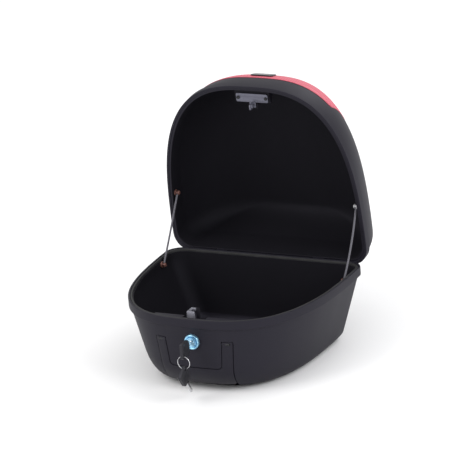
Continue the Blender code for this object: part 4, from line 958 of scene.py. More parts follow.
@dataclass(frozen=True)
class CaseForm:
    """The outline and the wall curves that the tub and the lid share, in metres."""

    width: float = 0.400
    depth: float = 0.3453
    shift: float = -0.015
    widest_from_rear: float = 0.060
    rear_corner: float = 0.031
    side_taper: float = 0.0263
    nose_power: float = 2.866
    tub_height: float = 0.146
    floor: float = 0.0034
    wall: float = 0.0032
    rim_band: float = 0.016
    band_blend: float = 0.002
    side_step: float = 0.005
    side_lean: float = 0.32
    side_radius: float = 0.016
    front_step: float = 0.002
    front_lean: float = 0.055
    front_radius: float = 0.055
    rear_step: float = 0.0025
    rear_lean: float = 0.04
    rear_radius: float = 0.022
    lid_height: float = 0.145
    lid_gap: float = 0.0003
    lid_overhang: float = 0.009
    lid_side_step: float = 0.004
    lid_side_crown: float = 0.128
    lid_front_crown: float = 0.0906
    lid_rear_crown: float = 0.040
    lid_crown_power: float = 2.05
    lid_open_angle: float = math.radians(83.0)
    hinge_behind_rear: float = 0.0045
    hinge_below_rim: float = 0.008
    stations: int = 216

    @property
    def rear(self) -> float:
        """Return the rim's rear y."""
        return self.shift + self.depth / 2

    @property
    def front(self) -> float:
        """Return the rim's front y."""
        return self.shift - self.depth / 2

    @property
    def widest(self) -> float:
        """Return the y at which the rim is widest."""
        return self.rear - self.widest_from_rear

    @property
    def nose(self) -> float:
        """Return the length of the curved front part."""
        return self.depth - self.widest_from_rear

    @property
    def lid_base(self) -> float:
        """Return the height of the closed lid's rim."""
        return self.tub_height + self.lid_gap

    @property
    def band_end(self) -> float:
        """Return the depth at which the rim band has run out."""
        return self.rim_band + self.band_blend

    @property
    def hinge(self) -> Vector:
        """Return a point on the hinge axis."""
        return Vector((0.0, self.rear + self.hinge_behind_rear, self.tub_height - self.hinge_below_rim))

    def opening(self) -> Matrix:
        """Return the move that takes the closed lid to its open place."""
        turn = Matrix.Rotation(-self.lid_open_angle, 4, "X")
        return Matrix.Translation(self.hinge) @ turn @ Matrix.Translation(-self.hinge)

    def _right_half(self, rear_extra: float) -> list[Point2]:
        """Return dense points of the rim's right half, rear middle to nose."""
        half = self.width / 2
        points = [(0.0, self.rear)]
        for k in range(33):
            angle = math.pi / 2 * (1 - k / 32)
            inner = half - self.rear_corner
            corner = self.rear - self.rear_corner
            across = inner + self.rear_corner * math.cos(angle)
            points.append((across, corner + self.rear_corner * math.sin(angle)))
        for k in range(301):
            angle = math.pi / 2 * k / 300
            reach = self.nose * math.sin(angle) ** (2 / self.nose_power)
            wide = half - self.side_taper * reach
            x = wide * max(math.cos(angle), 0.0) ** (2 / self.nose_power)
            points.append((x if k < 300 else 0.0, self.widest - reach))
        stretch = rear_extra / self.widest_from_rear
        return [(x, y + max(0.0, y - self.widest) * stretch) for x, y in points]

    def outline(self, rear_extra: float = 0.0) -> list[Point2]:
        """Return the rim's evenly spaced points.

        Args:
            rear_extra: How far the rear edge is stretched back.

        Returns:
            The closed outline.
        """
        dense = self._right_half(rear_extra)
        lengths = [0.0]
        for a, b in zip(dense, dense[1:]):
            lengths.append(lengths[-1] + math.dist(a, b))
        half: list[Point2] = []
        count = self.stations // 2
        i = 0
        for k in range(count + 1):
            target = lengths[-1] * k / count
            while i < len(dense) - 2 and lengths[i + 1] < target:
                i += 1
            span = lengths[i + 1] - lengths[i]
            t = 0.0 if span == 0 else (target - lengths[i]) / span
            (ax, ay), (bx, by) = dense[i], dense[i + 1]
            half.append((ax + (bx - ax) * t, ay + (by - ay) * t))
        half[0] = (0.0, half[0][1])
        half[-1] = (0.0, half[-1][1])
        return half + [(-x, y) for x, y in reversed(half[1:-1])]

    def section(self, points: Sequence[Point2], insets: Point3, rear_extra: float = 0.0) -> list[Point2]:
        """Draw an outline in from the sides, the front and the rear.

        Args:
            points: The outline.
            insets: The side, front and rear insets.
            rear_extra: How far the outline's rear edge is stretched back.

        Returns:
            The smaller outline.
        """
        side, front, rear = insets
        ring = []
        for x, y in points:
            x *= 1 - side / (self.width / 2)
            if y < self.widest:
                y = self.widest + (y - self.widest) * (1 - front / self.nose)
            else:
                y = self.widest + (y - self.widest) * (1 - rear / (self.widest_from_rear + rear_extra))
            ring.append((x, y))
        return ring

    def _tub_inset(self, depth: float, step: float, lean: float, radius: float, height: float) -> float:
        """Return how far the tub wall stands in at a depth below the rim."""
        if depth <= self.rim_band:
            return 0.0
        t = min(1.0, (depth - self.rim_band) / self.band_blend)
        inset = step * t * t * (3 - 2 * t)
        inset += lean * max(0.0, depth - self.band_end)
        rise = min((depth - (height - radius)) / radius, 1.0)
        if rise > 0:
            inset += radius * (1 - math.sqrt(1 - rise * rise))
        return inset

    def tub_insets(self, depth: float, extra: float = 0.0, inner: bool = False) -> Point3:
        """Return the tub wall's insets.

        Args:
            depth: The depth below the rim.
            extra: How far the wall is moved inward.
            inner: Whether this is the inner wall, whose bottom curves start sooner.

        Returns:
            The side, front and rear insets.
        """
        cut = self.floor if inner else 0.0
        height = self.tub_height - cut
        return (
            extra + self._tub_inset(depth, self.side_step, self.side_lean, self.side_radius - cut, height),
            extra + self._tub_inset(depth, self.front_step, self.front_lean, self.front_radius - cut, height),
            extra + self._tub_inset(depth, self.rear_step, self.rear_lean, self.rear_radius - cut, height),
        )

    def tub_depths(self, height: float) -> list[float]:
        """Return the depths of the tub wall's rings from the band down to the bottom."""
        depths = [self.rim_band + self.band_blend * k / 4 for k in range(1, 5)]
        straight = height - self.front_radius
        depths += [self.band_end + (straight - self.band_end) * k / 6 for k in range(1, 6)]
        return depths + [straight + self.front_radius * math.sin(math.pi / 2 * k / 22) for k in range(23)]

    def tub_skin(self, name: str, extra: float, top_depth: float = 0.0015) -> Workpiece:
        """Return a solid bounded by the tub's outer wall.

        Args:
            name: The solid's name.
            extra: How far the wall is moved inward.
            top_depth: How far below the rim it ends.

        Returns:
            The solid.
        """
        points = self.outline()
        depths = [top_depth, self.rim_band] + self.tub_depths(self.tub_height)
        rings = [
            (self.tub_height - d, self.section(points, self.tub_insets(d, extra))) for d in reversed(depths)
        ]
        return Workpiece(name).walls(rings)

    def lid_insets(self, height: float, extra: float = 0.0, inner: bool = False) -> Point3:
        """Return the lid wall's insets.

        Args:
            height: The height above the lid's rim.
            extra: How far the wall is moved inward.
            inner: Whether this is the inner wall.

        Returns:
            The side, front and rear insets.
        """
        if height <= self.rim_band:
            return (extra, extra, extra)
        top = self.lid_height - (self.wall if inner else 0.0)
        t = min(max(0.0, (height - self.band_end) / (top - self.band_end)), 1.0)
        crown = 1 - (1 - t**self.lid_crown_power) ** (1 / self.lid_crown_power)
        blend = min(1.0, (height - self.rim_band) / self.band_blend)
        blend = blend * blend * (3 - 2 * blend)
        return (
            extra + blend * self.lid_side_step + self.lid_side_crown * crown,
            extra + blend * self.front_step + self.lid_front_crown * crown,
            extra + blend * self.rear_step + self.lid_rear_crown * crown,
        )

    def lid_heights(self, top: float) -> list[float]:
        """Return the heights of the lid wall's rings."""
        blend = [self.rim_band + self.band_blend * k / 4 for k in range(1, 4)]
        rise = top - self.band_end
        return blend + [self.band_end + rise * math.sin(math.pi / 2 * k / 34) for k in range(35)]

    def lid_ring(self, height: float, extra: float = 0.0, inner: bool = False) -> Ring:
        """Return one ring of the closed lid's wall."""
        points = self.outline(self.lid_overhang)
        insets = self.lid_insets(height, extra, inner)
        return (self.lid_base + height, self.section(points, insets, self.lid_overhang))

    def lid_skin(self, name: str, extra: float) -> Workpiece:
        """Return a solid bounded by the closed lid's outer wall, moved inward by extra."""
        heights = [0.001, self.rim_band] + self.lid_heights(self.lid_height)
        return Workpiece(name).walls([self.lid_ring(h, extra) for h in heights])


# ------------------------------------------------------------------------ tub


@dataclass
class Tub:
    """The lower half: wall, floor, lock block, handle channel, seal and hinge knuckles."""

    form: CaseForm
    finishes: Finishes
    lip: float = 0.004
    ledge_drop: float = 0.005
    ledge_inset: float = 0.0095
    seal_width: float = 0.0036
    seal_below_rim: float = 0.0004
    gap: float = 0.0003
    block_half: float = 0.084
    block_depth: float = 0.0310
    block_low_top: float = 0.060
    block_skin: float = 0.0158
    pocket_half: float = 0.048
    pocket_low: float = 0.056
    pocket_high: float = 0.126
    lock_z: float = 0.103
    lock_radius: float = 0.015
    barrel_radius: float = 0.0095
    pad_rise: float = 0.0012
    plate_half: tuple[float, float] = (0.105, 0.085)
    plate_height: float = 0.016
    plate_corner: float = 0.022
    knob_offset: float = 0.050
    hinge_offset: float = 0.100
    knuckle_radius: float = 0.0042
    knuckle_width: float = 0.009
    lid_knuckle_width: float = 0.022
    pin_radius: float = 0.0018

    @property
    def wall_at_lock(self) -> float:
        """Return the front wall's y at the lock."""
        f = self.form
        return f.front + f.front_step + f.front_lean * (f.tub_height - self.lock_z - f.band_end)

    def _body(self) -> Workpiece:
        """Return the open tub: outer wall, lip, seal ledge, inner wall and floor."""
        f = self.form
        points = f.outline()
        top = f.tub_height
        rings = [(top - d, f.section(points, f.tub_insets(d))) for d in reversed(f.tub_depths(top))]
        rings.append((top - f.rim_band, points))
        for k in range(5):
            turn = math.pi / 2 * k / 4
            inset = 0.0012 * (1 - math.cos(turn))
            rings.append((top - 0.0012 + 0.0012 * math.sin(turn), f.section(points, [inset] * 3)))
        rings.append((top, f.section(points, [self.lip - 0.0008] * 3)))
        rings.append((top - 0.0008, f.section(points, [self.lip] * 3)))
        rings.append((top - self.ledge_drop, f.section(points, [self.lip] * 3)))
        rings.append((top - self.ledge_drop, f.section(points, [self.ledge_inset] * 3)))
        for depth in f.tub_depths(top - f.floor):
            insets = [max(self.ledge_inset, v) for v in f.tub_insets(depth, f.wall, inner=True)]
            rings.append((top - depth, f.section(points, insets)))
        return Workpiece("tub_wall").walls(rings)

    def _block(self) -> Workpiece:
        """Return the thick part of the front wall that carries the handle and the lock."""
        f = self.form
        rear = f.front + self.block_depth
        half = self.block_half
        top = f.tub_height - self.ledge_drop
        block = Workpiece("block").block((-half, f.front - 0.01, 0.001), (half, rear, top))
        low_corner = (-half, f.front - 0.01, 0.001)
        low = Workpiece("low").block(low_corner, (half, f.front + 0.09, self.block_low_top))
        low.carve(f.tub_skin("inside", self.block_skin, 0.0))
        return block.weld(low).share(f.tub_skin("outside", 0.001))

    def _pocket(self) -> Workpiece:
        """Return the space behind the front panel that holds the latch."""
        f = self.form
        rear = f.front + self.block_depth + 0.01
        low = (-self.pocket_half, f.front - 0.01, self.pocket_low)
        pocket = Workpiece("pocket").block(low, (self.pocket_half, rear, self.pocket_high))
        pocket.share(f.tub_skin("panel", f.wall))
        slot_corner = (-0.025, f.front + 0.0202, self.pocket_high - 0.005)
        slot = Workpiece("slot").block(slot_corner, (0.021, rear, f.tub_height))
        return pocket.weld(slot)

    def _knuckles(self) -> Workpiece:
        """Return the tub's four hinge knuckles."""
        f = self.form
        made = Workpiece("knuckles")
        centre = f.hinge
        inner = self.lid_knuckle_width / 2 + self.gap
        r = self.knuckle_radius
        for offset in (-self.hinge_offset, self.hinge_offset):
            for low, high in ((-inner - self.knuckle_width, -inner), (inner, inner + self.knuckle_width)):
                corners = [
                    (centre.y + r * math.cos(math.radians(100 - 190 * k / 20)),
                     centre.z + r * math.sin(math.radians(100 - 190 * k / 20)))
                    for k in range(21)
                ]
                corners += [(f.rear - 0.002, centre.z - r - 0.002), (f.rear - 0.002, centre.z + r * 0.9)]
                made.prism(corners, offset + low, offset + high, "X")
        return made

    def shell(self, channel: Workpiece, pin_bores: Workpiece) -> bpy.types.Object:
        """Build the tub's shell.

        Args:
            channel: The space the handle lies in.
            pin_bores: The bores of the handle's pins.

        Returns:
            The piece.
        """
        f = self.form
        tub = self._body().weld(self._block())
        half_x, half_y = (v + 0.0005 for v in self.plate_half)
        top = self.plate_height + 0.0005
        a, b = half_x + f.wall, half_y + f.wall
        raised = Workpiece("raised").prism(
            [(-a, -b), (a, -b), (a, b), (-a, b)],
            0.0008,
            top + f.floor,
            "Z",
            self.plate_corner + f.wall,
            steps=10,
        )
        raised.soften(0.0012, 3, 60.0, lambda p: p.z > 0.01)
        tub.weld(raised)
        recess = Workpiece("recess").prism(
            [(-half_x, -half_y), (half_x, -half_y), (half_x, half_y), (-half_x, half_y)],
            -0.01, top, "Z", self.plate_corner, steps=10,
        )
        for y in (-self.knob_offset, self.knob_offset):
            recess.weld(Workpiece("hole").rod((0, y, top - 0.002), (0, y, top + f.floor + 0.002), 0.0053))
        tub.carve(recess)
        tub.carve(channel)
        tub.carve(self._pocket())
        wall = self.wall_at_lock
        pad = Workpiece("pad").rod(
            (0, wall + 0.002, self.lock_z), (0, wall - self.pad_rise, self.lock_z), self.lock_radius + 0.0016,
            self.lock_radius + 0.0010, 64,
        )
        tub.weld(pad)
        tub.weld(self._knuckles())
        bores = Workpiece("bores").rod(
            (0, f.front - 0.02, self.lock_z),
            (0, f.front + self.block_depth, self.lock_z),
            self.barrel_radius + 0.0003,
        )
        pin_y, pin_z = f.hinge.y, f.hinge.z
        bores.rod((-0.15, pin_y, pin_z), (0.15, pin_y, pin_z), self.pin_radius + 0.0001, None, 32)
        rear = f.front + self.block_depth
        for x in (-self.pocket_half - 0.0035, self.pocket_half + 0.0035):
            for z in (self.pocket_low + 0.006, self.pocket_high - 0.006):
                bores.rod((x, rear - 0.0075, z), (x, rear + 0.01, z), 0.0014, None, 24)
        tub.carve(bores)
        tub.carve(pin_bores)
        middle = Vector((0.0, f.widest - 0.07, 0.0))

        def gets_painted_shade(face: bmesh.types.BMFace) -> bool:
            """Return whether a face belongs to the inside of the tub, which gets the darker plastic with
            painted shade.
            """
            place = face.calc_center_median()
            if place.z > f.tub_height - self.ledge_drop - 0.0002 or place.z < 0.0032:
                return False
            if face.normal.z > 0.7:
                return place.y > f.front + self.block_depth - 0.002
            toward = (middle - place).to_2d()
            return face.normal.to_2d().dot(toward) > 0 and place.y > f.front + 0.008 and place.z > 0.0195

        # The inside faces take the darker plastic, whose extra darkness is painted shade.
        tub.paint_inside_shade(gets_painted_shade)
        piece = tub.finish([self.finishes.shell, self.finishes.inside], 30.0)
        return Bench.fit(piece, "tub", ["tub_shell"], "shell")

    def seal(self) -> bpy.types.Object:
        """Build the rubber seal on the ledge inside the lip."""
        f = self.form
        points = f.outline()
        outer = self.lip + self.gap
        low = f.tub_height - self.ledge_drop + self.gap
        high = f.tub_height - self.seal_below_rim
        lift = self.seal_width / 2
        rings = [(low, f.section(points, [outer] * 3))]
        for k in range(9):
            turn = math.pi * k / 8
            inset = outer + lift * (1 - math.cos(turn))
            rings.append((high - lift * 0.5 * (1 - math.sin(turn)), f.section(points, [inset] * 3)))
        rings.append((low, f.section(points, [outer + self.seal_width] * 3)))
        piece = Workpiece("rubber_seal").walls(rings, closed=True).finish([self.finishes.rubber], 50.0)
        return Bench.fit(piece, "tub", ["rim_seal"], "rubber")

    def hinge_pins(self) -> None:
        """Build both hinge pins."""
        for side in Side:
            label = side.name.lower()
            steel = self.finishes.steel
            Bench.refine("hinge_pin_" + label, "hinge_pin_steel_" + label, "tub", "steel", steel, 0.0002)


# ------------------------------------------------------------------------ lid


@dataclass
class Lid:
    """The upper half: shell, reflector, badge panel and catch."""

    form: CaseForm
    finishes: Finishes
    rim_width: float = 0.009
    lip: float = 0.004
    lens_low: float = 0.050
    lens_high: float = 0.098
    lens_half: float = 0.140
    lens_slant: float = -0.006
    lens_proud: float = 0.0008
    lens_seat: float = 0.0016
    backing: float = 0.0010
    badge_half: float = 0.023
    badge_thickness: float = 0.0022
    catch_height: float = 0.0115
    catch_thickness: float = 0.002
    catch_width: float = 0.064
    catch_front: float = 0.0197
    catch_depth: float = 0.017
    hook_length: float = 0.0105
    boss_tall: float = 0.024
    boss_end: float = 0.004
    boss_margin: float = 0.003
    foot_half: float = 0.009
    badge_margin: float = 0.011
    prism_depth: float = 0.15
    hinge_offset: float = 0.100
    knuckle_radius: float = 0.0042
    knuckle_half: float = 0.011

    def _body(self) -> Workpiece:
        """Return the hollow lid in its closed place."""
        f = self.form
        base = f.lid_base
        extra = f.lid_overhang
        points = f.outline(extra)
        rings = [f.lid_ring(h) for h in reversed([f.rim_band] + f.lid_heights(f.lid_height))]
        for k in range(5):
            turn = math.pi / 2 * k / 4
            inset = 0.0010 * (1 - math.cos(turn))
            rings.append((base + 0.0010 * (1 - math.sin(turn)), f.section(points, [inset] * 3, extra)))
        groove = ((0.0012, self.lip + 0.0006), (0.0012, self.rim_width - 0.0006))
        steps = ((0.0, self.lip), *groove, (0.0022, self.rim_width))
        for lift, inset in steps:
            rings.append((base + lift, f.section(points, [inset] * 3, extra)))
        for height in f.lid_heights(f.lid_height - f.wall):
            insets = [max(self.rim_width, v) for v in f.lid_insets(height, f.wall, inner=True)]
            rings.append((base + height, f.section(points, insets, extra)))
        return Workpiece("lid_wall").walls(rings)

    def _boss(self) -> Workpiece:
        """Return the boss inside the lid that carries the catch plate."""
        f = self.form
        rear = f.front + self.catch_front + self.catch_depth + self.hook_length + self.boss_margin
        low = f.lid_base + self.catch_height + self.catch_thickness + 0.0003
        tall, end = self.boss_tall, self.boss_end
        corners = [(f.front, low), (rear, low), (rear, low + end), (f.front, low + tall)]
        foot = Workpiece("foot").prism(corners, -self.foot_half, self.foot_half, "X")
        edge = f.front + self.catch_front + self.catch_depth + 0.001
        high = low + tall + (end - tall) * (edge - f.front) / (rear - f.front)
        corners = [(f.front, low), (edge, low), (edge, high), (f.front, low + tall)]
        half = self.catch_width / 2 + self.boss_margin
        boss = Workpiece("boss").prism(corners, -half, half, "X").weld(foot)
        return boss.share(f.lid_skin("inside", 0.0012))

    def _front_prism(
        self, name: str, shrink: float, low: float, high: float, half: float, slant: float
    ) -> Workpiece:
        """Return a four-cornered prism through the lid's front, with round corners."""
        f = self.form
        corners = [
            (-half + shrink, f.lid_base + low + shrink),
            (half - shrink, f.lid_base + low + shrink),
            (half - slant - shrink, f.lid_base + high - shrink),
            (-half + slant + shrink, f.lid_base + high - shrink),
        ]
        return Workpiece(name).prism(corners, f.front - 0.02, f.front + self.prism_depth, "Y", 0.006)

    def _layer(self, prism: Workpiece, outer: float, inner: float) -> Workpiece:
        """Return the part of a prism between two depths of the lid wall."""
        return prism.share(self.form.lid_skin("over", outer)).carve(self.form.lid_skin("under", inner))

    def _knuckles(self) -> Workpiece:
        """Return the lid's two hinge knuckles with their webs."""
        f = self.form
        made = Workpiece("knuckles")
        c = f.hinge
        r = self.knuckle_radius
        for offset in (-self.hinge_offset, self.hinge_offset):
            corners = [
                (c.y + r * math.cos(math.radians(180 + 9 * k)), c.z + r * math.sin(math.radians(180 + 9 * k)))
                for k in range(21)
            ]
            rear = f.rear + f.lid_overhang - 0.0004
            corners += [(rear, f.lid_base + 0.002), (rear, f.lid_base + 0.006)]
            corners += [(c.y - 0.0037, f.lid_base + 0.006), (c.y - 0.0037, c.z + 0.003)]
            made.prism(corners, offset - self.knuckle_half, offset + self.knuckle_half, "X")
        return made

    def shell(self) -> bpy.types.Object:
        """Build the lid's shell in its open place."""
        f = self.form
        lid = self._body().weld(self._boss())
        seat = self._front_prism("seat", 0.0, self.lens_low, self.lens_high, self.lens_half, self.lens_slant)
        lid.carve(seat.carve(f.lid_skin("bed", self.lens_seat)))
        lid.weld(self._knuckles())
        pin_y, pin_z = f.hinge.y, f.hinge.z
        bores = Workpiece("bores").rod((-0.2, pin_y, pin_z), (0.2, pin_y, pin_z), 0.0019, None, 32)
        y = f.front + self.catch_front + self.catch_depth / 2
        z = f.lid_base + self.catch_height
        for x in (-0.028, 0.028):
            bores.rod((x, y, z - 0.002), (x, y, z + 0.0095), 0.0016, None, 24)
        lid.carve(bores)
        middle = Vector((0.0, f.widest - 0.07, f.lid_base))

        def gets_painted_shade(face: bmesh.types.BMFace) -> bool:
            """Return whether a face belongs to the inside of the lid, which gets the darker plastic with
            painted shade.
            """
            place = face.calc_center_median()
            if place.z < f.lid_base + 0.0016:
                return False
            return face.normal.dot(middle - place) > 0

        # The inside faces take the darker plastic, whose extra darkness is painted shade.
        lid.paint_inside_shade(gets_painted_shade)
        lid.turn(f.opening())
        piece = lid.finish([self.finishes.shell, self.finishes.inside], 30.0)
        return Bench.fit(piece, "lid", ["lid_shell"], "shell")

    def reflector(self) -> None:
        """Build the red lens, its backing and the badge panel."""
        opened = self.form.opening()
        sizes = (self.lens_low, self.lens_high, self.lens_half, self.lens_slant)
        lens = self._layer(
            self._front_prism("lens", 0.0005, *sizes),
            -self.lens_proud,
            self.lens_seat - self.backing - 0.0006,
        )
        lens.soften(0.0004, 2, 50.0).turn(opened)
        Bench.fit(lens.finish([self.finishes.lens], 30.0), "lid", ["reflector_lens"], "lens")
        back = self._layer(
            self._front_prism("lens_back", 0.0012, *sizes),
            self.lens_seat - self.backing - 0.0003,
            self.lens_seat - 0.0003,
        )
        back.turn(opened)
        Bench.fit(back.finish([self.finishes.lens_base], 30.0), "lid", ["reflector_base"], "base")
        badge = self._layer(
            self._front_prism(
                "badge",
                0.0,
                self.lens_low + self.badge_margin,
                self.lens_high - self.badge_margin,
                self.badge_half,
                0.002,
            ),
            -self.lens_proud - 0.0003 - self.badge_thickness,
            -self.lens_proud - 0.0003,
        )
        badge.soften(0.0003, 2, 50.0).turn(opened)
        Bench.fit(badge.finish([self.finishes.gloss], 30.0), "lid", ["badge_panel"], "inner")

    def catch(self) -> None:
        """Build the catch plate, its hook and its screws."""
        finishes = self.finishes
        Bench.refine("catch_plate", "catch_plate_zinc", "lid", "catch", finishes.catch, 0.0005)
        Bench.refine("catch_hook", "catch_hook_zinc", "lid", "catch", finishes.catch, 0.0003)
        for side in Side:
            label = side.name.lower()
            pin = finishes.dark_pin
            Bench.refine("catch_screw_" + label, "catch_screw_head_" + label, "lid", "steel", pin, 0.0002)


# --------------------------------------------------------------------- handle


@dataclass
class CarryHandle:
    """The U-shaped handle that lies flush in the tub's front wall."""

    form: CaseForm
    finishes: Finishes
    top_width: float = 0.151
    bottom_width: float = 0.135
    arm: float = 0.019
    bar_bottom: float = 0.012
    bar_height: float = 0.038
    thickness: float = 0.010
    proud: float = 0.0005
    pivot_z: float = 0.1004
    pivot_depth: float = 0.0097
    end_radius: float = 0.0046
    gap: float = 0.0013
    pin_radius: float = 0.0020
    channel_bottom: float = 0.002

    @property
    def pivot_y(self) -> float:
        """Return the pivot's y."""
        return self.form.front + self.pivot_depth

    def _corners(self, grow: float, top: float, bottom: float) -> list[Point2]:
        """Return the handle's four outer corners between two heights."""
        slope = (self.top_width - self.bottom_width) / 2 / (self.pivot_z - self.bar_bottom)
        low = self.bottom_width / 2 + grow + slope * (bottom - self.bar_bottom)
        high = self.bottom_width / 2 + grow + slope * (top - self.bar_bottom)
        return [(-low, bottom), (low, bottom), (high, top), (-high, top)]

    def _prism(self, name: str, grow: float, bottom: float) -> Workpiece:
        """Return the handle's U as a prism, grown on every side."""
        f = self.form
        top = self.pivot_z
        outer = Workpiece(name).prism(
            self._corners(grow, top, bottom), f.front - 0.03, f.front + 0.075, "Y", 0.008 + grow, (0, 1), 8
        )
        window = Workpiece("window").prism(
            self._corners(-self.arm - grow, top + 0.02, self.bar_bottom + self.bar_height + grow),
            f.front - 0.04, f.front + 0.085, "Y", 0.008 - grow, (0, 1), 8,
        )
        return outer.carve(window)

    def _ends(self, name: str, low: float, high: float, radius: float) -> Workpiece:
        """Return round bars about the pivot axis on both sides."""
        y, z = self.pivot_y, self.pivot_z
        made = Workpiece(name)
        for side in Side:
            made.rod((side.value * low, y, z), (side.value * high, y, z), radius)
        return made

    def channel(self) -> Workpiece:
        """Return the space that the handle lies and turns in."""
        space = self._prism("channel", self.gap, self.channel_bottom)
        space.carve(self.form.tub_skin("bed", self.thickness, 0.0))
        outer = self.top_width / 2 + self.gap
        inner = self.top_width / 2 - self.arm - self.gap
        space.weld(self._ends("eyes", inner, outer, self.end_radius + 0.0006))
        mouths = Workpiece("mouths")
        for side in Side:
            a, b = sorted((side.value * inner, side.value * outer))
            low = (a, self.form.front - 0.02, self.pivot_z - 0.004)
            mouths.block(low, (b, self.pivot_y, self.pivot_z + self.end_radius + 0.0006))
        return space.weld(mouths)

    def pin_bores(self) -> Workpiece:
        """Return the bores for the two pivot pins."""
        return self._ends("pin_bores", 0.046, self.top_width / 2 - self.arm + 0.001, self.pin_radius + 0.0001)

    def grip(self) -> bpy.types.Object:
        """Build the handle."""
        grip = self._prism("carry_handle", 0.0, self.bar_bottom)
        grip.carve(self.form.tub_skin("core", self.thickness - self.proud, 0.0))
        grip.weld(self._ends("eyes", self.top_width / 2 - self.arm, self.top_width / 2, self.end_radius))
        grip.share(self.form.tub_skin("face", -self.proud))
        bores = self._ends(
            "bores",
            self.top_width / 2 - self.arm - 0.005,
            self.top_width / 2 - 0.004,
            self.pin_radius + 0.0001,
        )
        grip.carve(bores)
        grip.name = "carry_handle"
        grip.soften(0.0006, 3, 45.0)
        return Bench.fit(grip.finish([self.finishes.handle], 30.0), "handle", ["handle_grip"], "shell")

    def pins(self) -> None:
        """Build both pivot pins."""
        for side in Side:
            label = side.name.lower()
            pin = self.finishes.dark_pin
            Bench.refine("handle_pin_" + label, "handle_pin_steel_" + label, "tub", "steel", pin, 0.0)


# ----------------------------------------------------------------------- lock


@dataclass
class Lock:
    """The key lock with its bezel, barrel, plug, cam, latch tongue and cover."""

    form: CaseForm
    finishes: Finishes
    radius: float = 0.015
    bore: float = 0.0098

    def face(self) -> None:
        """Build the dished bezel ring and the slotted plug."""
        low, high = (Vector(v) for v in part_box("lock_bezel"))
        z = (low.z + high.z) / 2
        bezel = Workpiece("lock_bezel_ring")
        bezel.rod((0, high.y, z), (0, low.y, z), self.radius, self.radius - 0.0012, 96)
        bezel.soften(0.0011, 4, 50.0, lambda p: p.y < low.y + 0.001)
        bezel.carve(Workpiece("bore").rod((0, low.y - 0.01, z), (0, high.y + 0.01, z), self.bore, None, 64))
        dish = Workpiece("dish").rod((0, low.y - 0.001, z), (0, low.y + 0.0013, z), 0.0128, self.bore, 64)
        bezel.carve(dish)
        Bench.fit(bezel.finish([self.finishes.bezel], 30.0), "tub", ["lock_bezel"], "bezel")
        Bench.refine("lock_barrel", "lock_barrel_tube", "tub", "steel", self.finishes.bezel, 0.0003)
        Bench.refine("lock_plug", "lock_plug_face", "lock_plug", "plug", self.finishes.plug, 0.0003)

    def works(self) -> None:
        """Build what is behind the panel."""
        finishes = self.finishes
        Bench.refine("lock_nut", "lock_nut_hex", "tub", "steel", finishes.steel, 0.0004)
        Bench.refine("lock_cam", "lock_cam_disc", "lock_plug", "steel", finishes.steel, 0.0002)
        Bench.refine("latch_tongue", "latch_tongue_plate", "latch", "catch", finishes.tongue, 0.0003)
        # The latch cover takes the darker inside plastic, whose extra darkness is painted shade.
        Bench.refine("latch_cover", "latch_cover_panel", "tub", "inner", finishes.inside, 0.0005)
        for level in ("low", "high"):
            for side in Side:
                label = f"{level}_{side.name.lower()}"
                steel = finishes.steel
                Bench.refine("cover_screw_" + label, "cover_screw_head_" + label, "tub", "steel", steel, 0.0)


# ----------------------------------------------------------------------- keys


@dataclass
class KeySet:
    """The key in the lock, the split ring and the spare key."""

    finishes: Finishes
    wire: float = 0.00042
    coils: int = 2

    def keys(self) -> None:
        """Build the bows and blades of both keys."""
        for prefix, body in (("key", "key"), ("spare_key", "spare_key")):
            Bench.refine(f"{prefix}_bow", f"{prefix}_grip", body, "inner", self.finishes.bow, 0.0007)
            Bench.refine(f"{prefix}_blade", f"{prefix}_shank", body, "steel", self.finishes.blade, 0.0002)

    def ring(self) -> bpy.types.Object:
        """Build the split ring as a wire of two coils."""
        low, high = (Vector(v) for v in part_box("key_ring"))
        centre = (low + high) / 2
        radius = (high.x - low.x) / 2 - (high.y - low.y) / 2
        ring = Workpiece("split_ring")
        start = centre + Vector((0, -self.wire, radius))
        turn = Matrix.Translation(start) @ Matrix.Rotation(math.pi / 2, 4, "Y")
        made = bmesh.ops.create_circle(ring.bm, cap_ends=False, segments=12, radius=self.wire, matrix=turn)
        loop = list({e for v in made["verts"] for e in v.link_edges})
        steps = 72 * self.coils
        drawn = bmesh.ops.spin(
            ring.bm,
            geom=made["verts"] + loop,
            cent=centre,
            axis=(0, 1, 0),
            dvec=(0, 2 * self.wire / 72, 0),
            angle=2 * math.pi * self.coils * 0.97,
            steps=steps,
            use_merge=False,
        )
        last = [g for g in drawn["geom_last"] if isinstance(g, bmesh.types.BMEdge)]
        bmesh.ops.edgeloop_fill(ring.bm, edges=loop)
        bmesh.ops.edgeloop_fill(ring.bm, edges=last)
        shift = -self.wire * (self.coils - 1)
        bmesh.ops.translate(ring.bm, verts=ring.bm.verts[:], vec=(0, shift, 0))
        bmesh.ops.recalc_face_normals(ring.bm, faces=ring.bm.faces[:])
        return Bench.fit(ring.finish([self.finishes.blade], 50.0), "key_ring", ["key_ring"], "steel")


# ---------------------------------------------------------------- check cords


